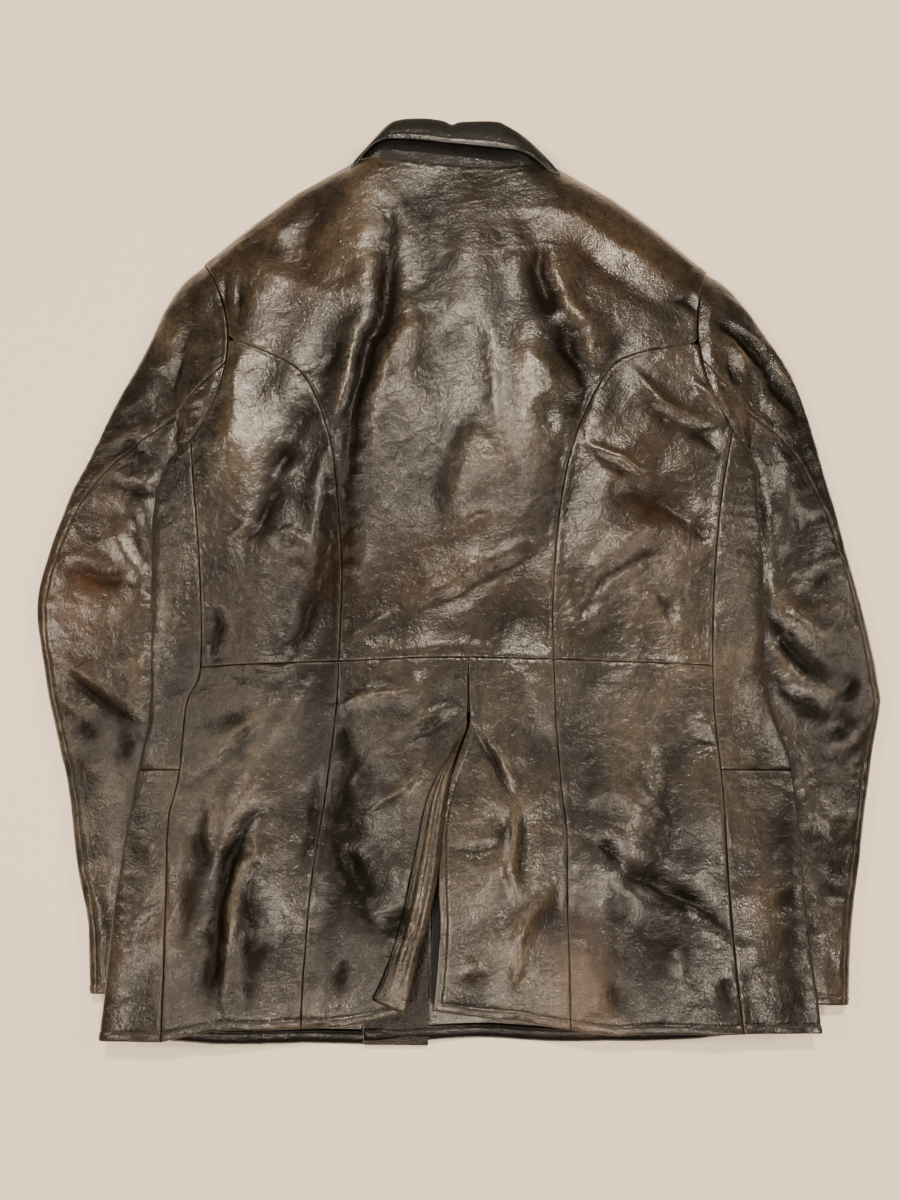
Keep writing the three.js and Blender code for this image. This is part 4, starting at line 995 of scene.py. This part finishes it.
def curved_panel(name, grid, centre, relief, low=0.05, hem=""):
    """A panel on a curved grid. Its good side faces away from the points of centre, and stays above low."""
    n = normals(grid)
    if ((grid - centre) * n).sum() < 0:
        n = -n
    d = rim_distance(grid)
    x, y = grid[..., 0], grid[..., 1]
    lift = relief - seam_roll(d) + pucker(x, y, d, 0.4)
    if hem:
        lift = lift + turned_edge(rim_distance(grid, hem))
    outer = grid + n * lift[..., None]
    outer[..., 2] = np.maximum(outer[..., 2], low)
    inner = grid - n * (LEATHER + np.maximum(-lift, 0))[..., None]
    inner[..., 2] = np.maximum(inner[..., 2], low + 0.2)
    # Painted shade in the valleys of the folds, added to the tone patches.
    tone = patches(x, y, TONE_AND_SHADE_PATCHES) + dye_shade_and_rub(lift)
    return shell(name, outer, inner, SHELL, wear=lift - blur(lift, WEAR_AND_SHADE_SPREAD), edge=seam_edge(d), tone=tone)


SIDE_MIDDLE_Z = 26.5
SIDE_SPACING = 2.6
SIDE_GIRTH = 110


def build_sides():
    """The panels that wrap round the edge of the body, from the back's side seam to the front's."""
    for side, s in SEAMS.items():
        for part, seam in (("upper", s["side"]), ("lower", s["side_skirt"])):
            reach = seam[-1, 1] - seam[0, 1]
            y = seam[0, 1] + reach * seam_shares(reach, SIDE_SPACING)[:, None]
            angle = (0.5 - seam_shares(SIDE_GIRTH, SIDE_SPACING)[None, :]) * math.pi
            start = x_at(seam, y)
            far = x_at(s["body_edge"], y) + 1.3 * noise(y, 0 * y, 34, 5) - start
            top = back_base(start, y)
            under = front_under(LEFT, start, y)
            rounding = np.sign(np.sin(angle)) * abs(np.sin(angle)) ** 0.85
            half = np.where(angle > 0, top - SIDE_MIDDLE_Z, SIDE_MIDDLE_Z - under)
            z = SIDE_MIDDLE_Z + half * rounding
            grid = np.dstack([start + far * np.cos(angle) ** 0.8, y + 0 * angle, z])
            relief = back_relief(grid[..., 0], grid[..., 1]) * rise(np.sin(angle), 0.1, 0.8)
            relief = relief + 0.5 * wrinkles(grid[..., 0], grid[..., 1], 12, 2) * rise(np.sin(angle), 0, 0.3)
            centre = np.dstack([start + 0 * angle, y + 0 * angle, np.full(z.shape, SIDE_MIDDLE_Z)])
            obj = curved_panel(f"side_{part}_{NAME[side]}", grid, centre, relief,
                               hem="b" if part == "lower" else "")
            settle(obj, "torso", "shell_leather", f"side_panel_{part}_{NAME[side]}")


# ---------------------------------------------------------------- sleeves
SLEEVE_STEPS = np.linspace(0, 1, 200)
SLEEVE_OUT = {side: resample(s["sleeve_outer"], SLEEVE_STEPS) for side, s in SEAMS.items()}
SLEEVE_IN = {side: resample(s["sleeve_inner"], SLEEVE_STEPS) for side, s in SEAMS.items()}
SLEEVE_LENGTH = 640
SLEEVE_PANEL_WIDTH = 210
SLEEVE_SPACING = 3.0
SLEEVE_HOLLOW = 7.5
SLEEVE_CLOTH = 0.7
SHOULDER_BLEND = 0.15
FRONT_SEAM = math.radians(-118)


def elbow_seam(t):
    return np.radians(101 - 75 * rise(t, 0, 0.46))


def sleeve_grid(side, t, angle, inset=0.0):
    """Points of the sleeve: t runs from the armhole to the cuff, and the angle round its section."""
    o = [np.interp(t, SLEEVE_STEPS, SLEEVE_OUT[side][:, k]) for k in (0, 1)]
    i = [np.interp(t, SLEEVE_STEPS, SLEEVE_IN[side][:, k]) for k in (0, 1)]
    width = np.hypot(o[0] - i[0], o[1] - i[1]) / 2
    c = np.cos(angle) * (width - inset) / width
    half = SLEEVE_HALF["armhole"] + (SLEEVE_HALF["arm"] - SLEEVE_HALF["armhole"]) * rise(t, 0, SHOULDER_BLEND)
    wave = np.sin(angle)
    bow = -side * SEAMS[side]["armhole_bow"] * np.sin(angle) ** 2 * (1 - rise(t, 0, 0.34))
    tucked = side * (2.4 - np.cos(angle)) * (1 - rise(t, 0, 0.06))
    x = (o[0] + i[0]) / 2 + c * (o[0] - i[0]) / 2 + bow - tucked
    y = (o[1] + i[1]) / 2 + c * (o[1] - i[1]) / 2
    arm = half + 0.3 + (half - inset) * np.sign(wave) * abs(wave) ** 0.75
    top, low = back_top(x, y) - inset - 0.2, front_under(LEFT, x, y) + 0.4 + inset
    sewn = (top + low) / 2 + (top - low) / 2 * np.sign(wave) * abs(wave) ** 0.45
    return np.dstack([x, y, sewn + (arm - sewn) * rise(t, 0, SHOULDER_BLEND)])


def sleeve_relief(side, grid, t, angle):
    """Folds of a sleeve on its upper side. Below the armpit they fade towards the edge of the body."""
    x, y = grid[..., 0], grid[..., 1]
    up = rise(np.sin(angle), 0.0, 0.4)
    clear = np.where(y > ARMPIT_Y, 1.0, rise(side * (x - x_at(SEAMS[side]["body_edge"], y)), 0, 12))
    shape = blur(folds(x, y, SLEEVE_FOLDS[side]), 1) + 1.3 * fractal(x, y, 60, 3, 3) + 1.0
    shape = np.where(shape < 0, 3.4 * np.tanh(shape / 3.4), shape)
    fine = 0.7 * wrinkles(x, y, 14, 6, 0.3) + 0.4 * wrinkles(x, y, 8, 2, 2.0)
    fine = fine + 1.2 * crinkled(x, y) * (wrinkles(x, y, 10, 7, 0.6, 3.2) - 0.3)
    edge = 1.2 * fractal(x + 40, y, 45, 7, 2) * (1 - up) * rise(np.cos(angle), 0.2, 0.9)
    relief = ((shape + fine) * up * clear + edge) * rise(t, 0, 0.03)
    return np.where(relief < 0, relief * rise(t, 0.96, 0.9), relief)


def join_arm(obj, node):
    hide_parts(node)
    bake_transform(obj)


def build_sleeves():
    for side, name in NAME.items():
        t = seam_shares(SLEEVE_LENGTH, SLEEVE_SPACING)[:, None]
        share = seam_shares(SLEEVE_PANEL_WIDTH, SLEEVE_SPACING)[None, :]
        spans = {"top": (FRONT_SEAM, elbow_seam(t)), "under": (elbow_seam(t), FRONT_SEAM + 2 * math.pi)}
        for part, (a, b) in spans.items():
            angle = a + (b - a) * share
            grid = sleeve_grid(side, t + 0 * angle, angle)
            centre = sleeve_grid(side, t + 0 * angle, angle, SLEEVE_HOLLOW)
            relief = sleeve_relief(side, grid, t, angle)
            obj = curved_panel(f"sleeve_{part}_leather_{name}", grid, centre, relief, low=0.3, hem="t")
            join_arm(obj, f"sleeve_{part}_{name}")
        ts = np.linspace(0.012, 0.985, 120)[:, None]
        angle = np.linspace(-math.pi, math.pi, 72)[None, :] + 0 * ts
        inset = SLEEVE_HOLLOW - 4.6 * rise(ts, 0.86, 0.93)
        grids = [sleeve_grid(side, ts + 0 * angle, angle, inset + step) for step in (0, SLEEVE_CLOTH)]
        obj = shell(f"sleeve_lining_cloth_{name}", *grids, LINING)
        join_arm(obj, f"sleeve_lining_{name}")


# ---------------------------------------------------------------- vent
def slab_rings(start, end, thickness, squareness, steps, crown, ridges=0.0, grooves=()):
    """Rings of a strip whose section runs from one line to another, both (n, 3), with rounded edges.

    The crown, the ridges and the grooves, each a place across and a depth, shape its upper side only.
    """
    a = np.linspace(0, 2 * math.pi, steps, endpoint=False)
    u = np.sign(np.cos(a)) * abs(np.cos(a)) ** (2 / squareness)
    w = np.sign(np.sin(a)) * abs(np.sin(a)) ** (2 / squareness)
    share = (u + 1) / 2
    points = start[:, None] * (1 - share[None, :, None]) + end[:, None] * share[None, :, None]
    thick = np.broadcast_to(np.asarray(thickness, float), (len(start),))[:, None]
    top = w > 0
    arch = np.sin(math.pi * share)
    lift = thick / 2 * w + top * (crown * arch + ridges * np.cos(2 * math.pi * 2.5 * share) * arch)
    for place, depth in grooves:
        lift = lift - top * depth * np.exp(-((share - place) / 0.03) ** 2)
    points[..., 2] += lift
    return points


VENT_THICKNESS = 4.6
UNDERLAY_DROP = 2.1
UNDERLAY_THICKNESS = 1.0


def build_vent():
    """The facing turned out on the left skirt, and the underlay that the right skirt covers."""
    shares = np.linspace(0, 1, 90)
    fold = resample(VENT_FOLD, shares)
    free = resample(VENT_FREE, shares)
    fold[:, 0] += 0.4 + 6 * np.sin(math.pi * shares) ** 0.8
    on_back = lambda p, lift: np.column_stack([p, back_top(p[:, 0], p[:, 1]) + lift])
    thick = VENT_THICKNESS * (0.5 + 0.5 * rise(shares, 1.0, 0.85))
    start, end = on_back(free, 2.5), on_back(fold, 3.4)
    end[:, 2:3] = blur(end[:, 2:3], 10)
    ridges = (1.15 * rise(shares, 0.02, 0.16))[:, None]
    rings = slab_rings(start, end, thick, 3.0, 64, 1.2, ridges, [(0.1, 0.5)])
    rings[0] = rings[0].mean(0) * 0.06 + rings[0] * 0.94
    rings[3, :, 2] -= 0.5
    # Height above the strip's middle, less 1.6: its ridges are rubbed lighter, its hollows get painted shade,
    # and the offset darkens and dulls the whole strip.
    wear = rings[..., 2] - rings[..., 2].mean(1)[:, None] - 1.6
    facing = ring_mesh("vent_turned_edge", rings, SHELL, wear)
    settle(facing, "vent_edge", "shell_leather", "vent_facing_left")

    edge = resample(VENT_EDGE, shares)
    near, far = edge + (5, 2), edge + (25, 2)
    rows = np.linspace(0, 1, 9)[None, :, None]
    plan = near[:, None] * (1 - rows) + far[:, None] * rows
    outer = np.dstack([plan, back_top(plan[..., 0], plan[..., 1]) - UNDERLAY_DROP])
    underlay = shell("vent_underlay", outer, outer - (0, 0, UNDERLAY_THICKNESS), FACING)
    settle(underlay, "torso", "facing_leather", "vent_facing_right")


# ---------------------------------------------------------------- collar
COLLAR_FOLD = smooth([(-93, 358), (-87, 366), (-73, 377), (-54, 392), (-30, 394.3), (-11, 392.4),
                      (-2, 388.6), (7, 391.4), (36, 392), (48, 387), (64, 376), (86, 361), (95, 350)])
COLLAR_FREE = smooth([(-94, 350), (-81, 364), (-66, 371), (-42, 371), (-8, 367.5), (16, 365), (49, 361),
                      (75, 355), (96, 343)])
COLLAR_NECK = smooth([(-92, 352), (-77, 361), (-56, 358.5), (-1, 354.5), (50, 353), (80, 354), (94, 345)])


FALL_THICKNESS = 3.4
STAND_THICKNESS = 1.8
FALL_FOLD_Z = 43.5
FALL_FREE_Z = 47.2
STAND_NECK_Z = 31.0
STAND_FOLD_Z = 41.2


def build_collar():
    """The fall and the stand, blended where the collar folds."""
    shares = np.linspace(0, 1, 120)
    fold, free, neck = (resample(c, shares) for c in (COLLAR_FOLD, COLLAR_FREE, COLLAR_NECK))
    drop = 15 * rise(abs(fold[:, 0]), 56, 96)
    wave = 0.7 * noise(fold[:, 0], fold[:, 1], 26, 3)
    start = np.column_stack([fold, FALL_FOLD_Z - drop + wave])
    end = np.column_stack([free, FALL_FREE_Z - 1.25 * drop + 0.6 * wave])
    rings = slab_rings(start, end, FALL_THICKNESS, 3.2, 40, 1.2, 0, [(0.76, 0.5), (0.9, 0.35)])
    obj = ring_mesh("collar_fall_leather", rings, COLLAR, 0.8)
    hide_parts("collar_fall")
    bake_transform(obj)

    start = np.column_stack([neck - (0, 2.5), STAND_NECK_Z - 0.5 * drop])
    end = np.column_stack([fold * (0.99, 1) - (0, 1.6), STAND_FOLD_Z - drop + wave])
    rings = slab_rings(start, end, STAND_THICKNESS, 4, 32, 0.6)
    stand = ring_mesh("collar_stand_leather", rings, COLLAR, 0.4)
    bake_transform(stand)
    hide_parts("collar_stand")


# ---------------------------------------------------------------- linings
LINING_DROP = 4.6
LINING_THICKNESS = 0.6
LINING_TOP_Y = 346.1
LINING_HEM_Y = -360
LINING_SPLIT_Y = (-142, -136)
LABEL_EDGE_X = (38, 60)
LABEL_EDGE_Y = (262, 284)


def lining_top(x, y):
    """The lining hangs below the back, follows only its dips, and makes room for the neck label."""
    dip = np.minimum(blur(back_relief(x, y), 6), 0)
    near_neck = rise(y, *LABEL_EDGE_Y)
    label = (1 - rise(abs(x), *LABEL_EDGE_X)) * near_neck
    return back_base(x, y) + dip + label * (np.maximum(dip, -1.2) - dip) - LINING_DROP + 1.5 * near_neck


def lining_panel(name, x0, x1, y0, y1):
    rows = np.arange(y0, y1 + 0.1, 6.0)[:, None]
    share = np.linspace(0, 1, 60)[None, :]
    left, right = x0(rows), x1(rows)
    x = left + (right - left) * share
    y = rows + 0 * x
    outer = np.dstack([x, y, lining_top(x, y)])
    obj = shell(name, outer, outer - (0, 0, LINING_THICKNESS), LINING)
    settle(obj, "torso", "lining_cloth", "back_lining")


def build_linings():
    def edge(side):
        s = SEAMS[side]
        seam = np.vstack([s["side_skirt"], s["side"][1:]])
        return lambda y: (x_at(seam, np.minimum(y, ARMPIT_Y)) - side * 7 - side * 66 * rise(y, 60, 190)
                          - side * 76 * rise(y, 200, 345))
    vent_left = lambda y: x_at(VENT_FOLD, y) - 3
    vent_right = lambda y: x_at(VENT_EDGE, y) + 12
    below, above = LINING_SPLIT_Y
    lining_panel("lining_back", edge(LEFT), edge(RIGHT), above, LINING_TOP_Y)
    lining_panel("lining_skirt_left", edge(LEFT), vent_left, LINING_HEM_Y, below)
    lining_panel("lining_skirt_right", vent_right, edge(RIGHT), LINING_HEM_Y, below)


# ---------------------------------------------------------------- fronts
HEM_FRONT_Y = -394
ROLL_TOP = {LEFT: (-82, 326), RIGHT: (84, 322)}
ROLL_START_Y = 40
# Painted shade: the turned front hems, which lie under the back's hem, are darkened.
HEM_TURN_SHADE = -1.6
HEM_TURN_DEPTH = 10
HEM_TURN_THICKNESS = 2.9
FRONT_SPACING = {"upper": 5.0, "lower": 4.0}


def build_fronts():
    for side, s in SEAMS.items():
        name = NAME[side]
        x = CENTRE_FRONT_X - side * OVERLAP
        height = lambda px, py: front_under(side, px, py)
        outer = np.vstack([s["side"], s["armhole"][1:], s["shoulder"][1:]])
        inner = line((x, HIP_Y), (x, ROLL_START_Y), ROLL_TOP[side])
        pair = (outer, inner) if side == LEFT else (inner, outer)
        grid = panel_grid(*pair, line(pair[0][0], pair[1][0]), line(pair[0][-1], pair[1][-1]),
                          FRONT_SPACING["upper"])
        closed = LEATHER + 1.8 * np.exp(-(from_shoulder(grid[..., 0], grid[..., 1]) / 7) ** 2)
        obj = flat_panel(f"front_upper_leather_{name}", grid, height, closed, facing=-1)
        settle(obj, "torso", "shell_leather", f"front_upper_{name}")
        hem = smooth([(-222, -386), (-150, -391), (-72, -393), (x, HEM_FRONT_Y)] if side == LEFT
                     else [(x, -391), (16, -388), (82, -391), (144, -389), (219, -381)])
        outer = s["side_skirt"]
        inner = line((x, hem[-1 if side == LEFT else 0][1]), (x, HIP_Y))
        pair = (outer, inner) if side == LEFT else (inner, outer)
        grid = panel_grid(*pair, hem, line(pair[0][-1], pair[1][-1]), FRONT_SPACING["lower"])
        obj = flat_panel(f"front_lower_leather_{name}", grid, height, facing=-1)
        settle(obj, "torso", "shell_leather", f"front_lower_{name}")
        low = resample(hem, np.linspace(0.004, 0.996, 140)) + (0, 0.8)
        wave = 1.6 + 0.8 * noise(low[:, 0], low[:, 1], 26, 2)
        under = height(low[:, 0], low[:, 1])
        start = np.column_stack([low + (0, HEM_TURN_DEPTH), under + wave + 0.6])
        end = np.column_stack([low, under + wave])
        rings = slab_rings(start, end, HEM_TURN_THICKNESS, 2.8, 36, 0.5, 0, [(0.22, 0.45)])
        # Painted shade darkens this hem turn under the back's hem.
        obj = ring_mesh(f"front_hem_turn_{name}", rings, SHELL, 0, tone=HEM_TURN_SHADE)
        settle(obj, "torso", "shell_leather", f"front_lower_{name}")


# ---------------------------------------------------------------- stitching
STITCH_PITCH = 3.4
STITCH_SIZE = (2.3, 0.75, 0.5)
STITCH_SIDES = 6
STITCH_LIFT = 0.2
CENTRE_STITCH = 3.6
STITCH_OUTLINE = ((-1.0, 0.0), (-0.7, 0.8), (0.0, 1.0), (0.7, 0.8), (1.0, 0.0))


def headings(path):
    """The direction of a plan line at each of its points."""
    turn = np.gradient(path, axis=0)
    return turn / np.linalg.norm(turn, axis=1, keepdims=True)


def stitches(name, paths):
    """Rows of short raised stitches along plan lines on the back, all in one piece."""
    around = np.linspace(0, 2 * math.pi, STITCH_SIDES, endpoint=False)
    ball = np.array([(u, r * math.cos(a), r * math.sin(a)) for u, r in STITCH_OUTLINE for a in around])
    ball = ball * np.array(STITCH_SIZE) / 2
    k, i = np.mgrid[0:len(STITCH_OUTLINE) - 1, 0:STITCH_SIDES] * np.array([STITCH_SIDES, 1])[:, None, None]
    j = (i + 1) % STITCH_SIDES
    faces = np.stack([k + i, k + j, k + STITCH_SIDES + j, k + STITCH_SIDES + i], -1).reshape(-1, 4)
    verts, quads = [], []
    for path in paths:
        count = max(2, int(length(path) / STITCH_PITCH))
        places = resample(path, (np.arange(count) + 0.5) / count)
        heights = back_top(places[:, 0], places[:, 1]) + STITCH_LIFT
        for (px, py), (cx, sx), pz in zip(places, headings(places), heights):
            quads.append(faces + len(verts) * len(ball))
            x = px + ball[:, 0] * cx - ball[:, 1] * sx
            y = py + ball[:, 0] * sx + ball[:, 1] * cx
            verts.append(np.column_stack([x, y, pz + ball[:, 2]]))
    settle(make_mesh(name, np.concatenate(verts), [np.concatenate(quads)], THREAD), "torso", "sewing_thread")


def shifted(path, distance):
    """A plan line moved sideways, to its left for a positive distance."""
    turn = headings(path)
    return path + distance * np.column_stack([-turn[:, 1], turn[:, 0]])


def build_stitching():
    l, r = SEAMS[LEFT], SEAMS[RIGHT]
    even = lambda path: resample(path, np.linspace(0, 1, 80))
    hem = (l["hem"], l["hem_centre"], r["hem_centre"], r["hem"])
    stitches("hem_stitching", [shifted(even(path), HEM_STITCH) for path in hem])
    rows = [shifted(even(VENT_EDGE), -HEM_STITCH)[4:-10]]
    for dx in (-CENTRE_STITCH, CENTRE_STITCH):
        x = CENTRE_BACK_X + dx
        rows.append(even(line((x, VENT_TOP_Y + 6), (x, -96))))
    stitches("vent_stitching", rows)


# ---------------------------------------------------------------- nodes shown as they were packed
def dress_cad():
    """Gives the small or hidden pieces that have no finer mesh their materials."""
    pairs = {"front_facing": PLAIN_FACING, "cuff_facing": PLAIN_FACING, "front_lining": LINING,
             "pocket_bag": LINING, "pocket_welt": PLAIN_SHELL, "lapel": PLAIN_SHELL,
             "collar_front": PLAIN_COLLAR}
    finish = {f"{node}_{side}": material for node, material in pairs.items() for side in NAME.values()}
    finish.update({"hanger_loop": PLAIN_FACING, "neck_label": LABEL})
    for i in (1, 2, 3):
        finish[f"button_{i}"] = HORN
        finish[f"button_thread_{i}"] = THREAD
    for node, material in finish.items():
        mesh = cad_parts[node].data
        mesh.materials.clear()
        mesh.materials.append(material)


# ---------------------------------------------------------------- floor, light and camera
FLOOR_HALF = 4
FLOOR_Z = -0.0004
FLOOR_COLOUR = (0.97, 0.84, 0.70, 1)
LAMP_COLOUR = (1.0, 0.85, 0.69)
SKY_COLOUR = (1.0, 0.9, 0.8, 1)
SKY_STRENGTH = 0.2
LAMPS = {
    # place, target, size across and along, power
    "key": ((0.05, 1.12, 2.4), (0, 0.05, 0), (0.24, 0.18), 50),
    "side_left": ((-1.6, 0.2, 1.7), (0, 0, 0), (0.25, 0.25), 18),
    "side_right": ((1.6, 0.2, 1.7), (0, 0, 0), (0.25, 0.25), 15),
    "low_left": ((-0.7, -0.95, 2.2), (0, -0.2, 0), (0.15, 0.15), 26),
    "low_right": ((0.55, -0.95, 2.2), (0, -0.2, 0), (0.15, 0.15), 24),
}
CAMERA_PLACE = (-0.0038, -0.2077, 0.838)
CAMERA_TILT = math.radians(11.46)
SENSOR_WIDTH = 36
FOCAL_LENGTH = 30


def build_floor():
    mesh = bpy.data.meshes.new("floor")
    corners = [(x * FLOOR_HALF, y * FLOOR_HALF, FLOOR_Z) for x, y in ((-1, -1), (1, -1), (1, 1), (-1, 1))]
    mesh.from_pydata(corners, [], [(0, 1, 2, 3)])
    s = Shader("floor")
    s.set(s.bsdf, Base_Color=FLOOR_COLOUR, Roughness=0.8)
    mesh.materials.append(s.material)
    linked("floor", mesh)


def build_lights():
    for name, (place, target, size, power) in LAMPS.items():
        light = bpy.data.lights.new(name, "AREA")
        light.shape = "RECTANGLE"
        light.size, light.size_y = size
        light.energy = power
        light.color = LAMP_COLOUR
        obj = linked(name, light)
        obj.location = place
        obj.rotation_euler = (Vector(target) - Vector(place)).to_track_quat("-Z", "Y").to_euler()
    world = bpy.data.worlds.new("soft")
    bpy.context.scene.world = world
    world.use_nodes = True
    sky = world.node_tree.nodes["Background"]
    sky.inputs["Color"].default_value = SKY_COLOUR
    sky.inputs["Strength"].default_value = SKY_STRENGTH


def build_camera():
    data = bpy.data.cameras.new("camera")
    data.sensor_width = SENSOR_WIDTH
    data.lens = FOCAL_LENGTH
    camera = linked("camera", data)
    camera.location = CAMERA_PLACE
    camera.rotation_euler = (CAMERA_TILT, 0, 0)
    bpy.context.scene.camera = camera


build_back()
build_sides()
build_sleeves()
build_vent()
build_collar()
build_linings()
build_fronts()
build_stitching()
dress_cad()
build_floor()
build_lights()
build_camera()

bpy.context.view_layer.update()
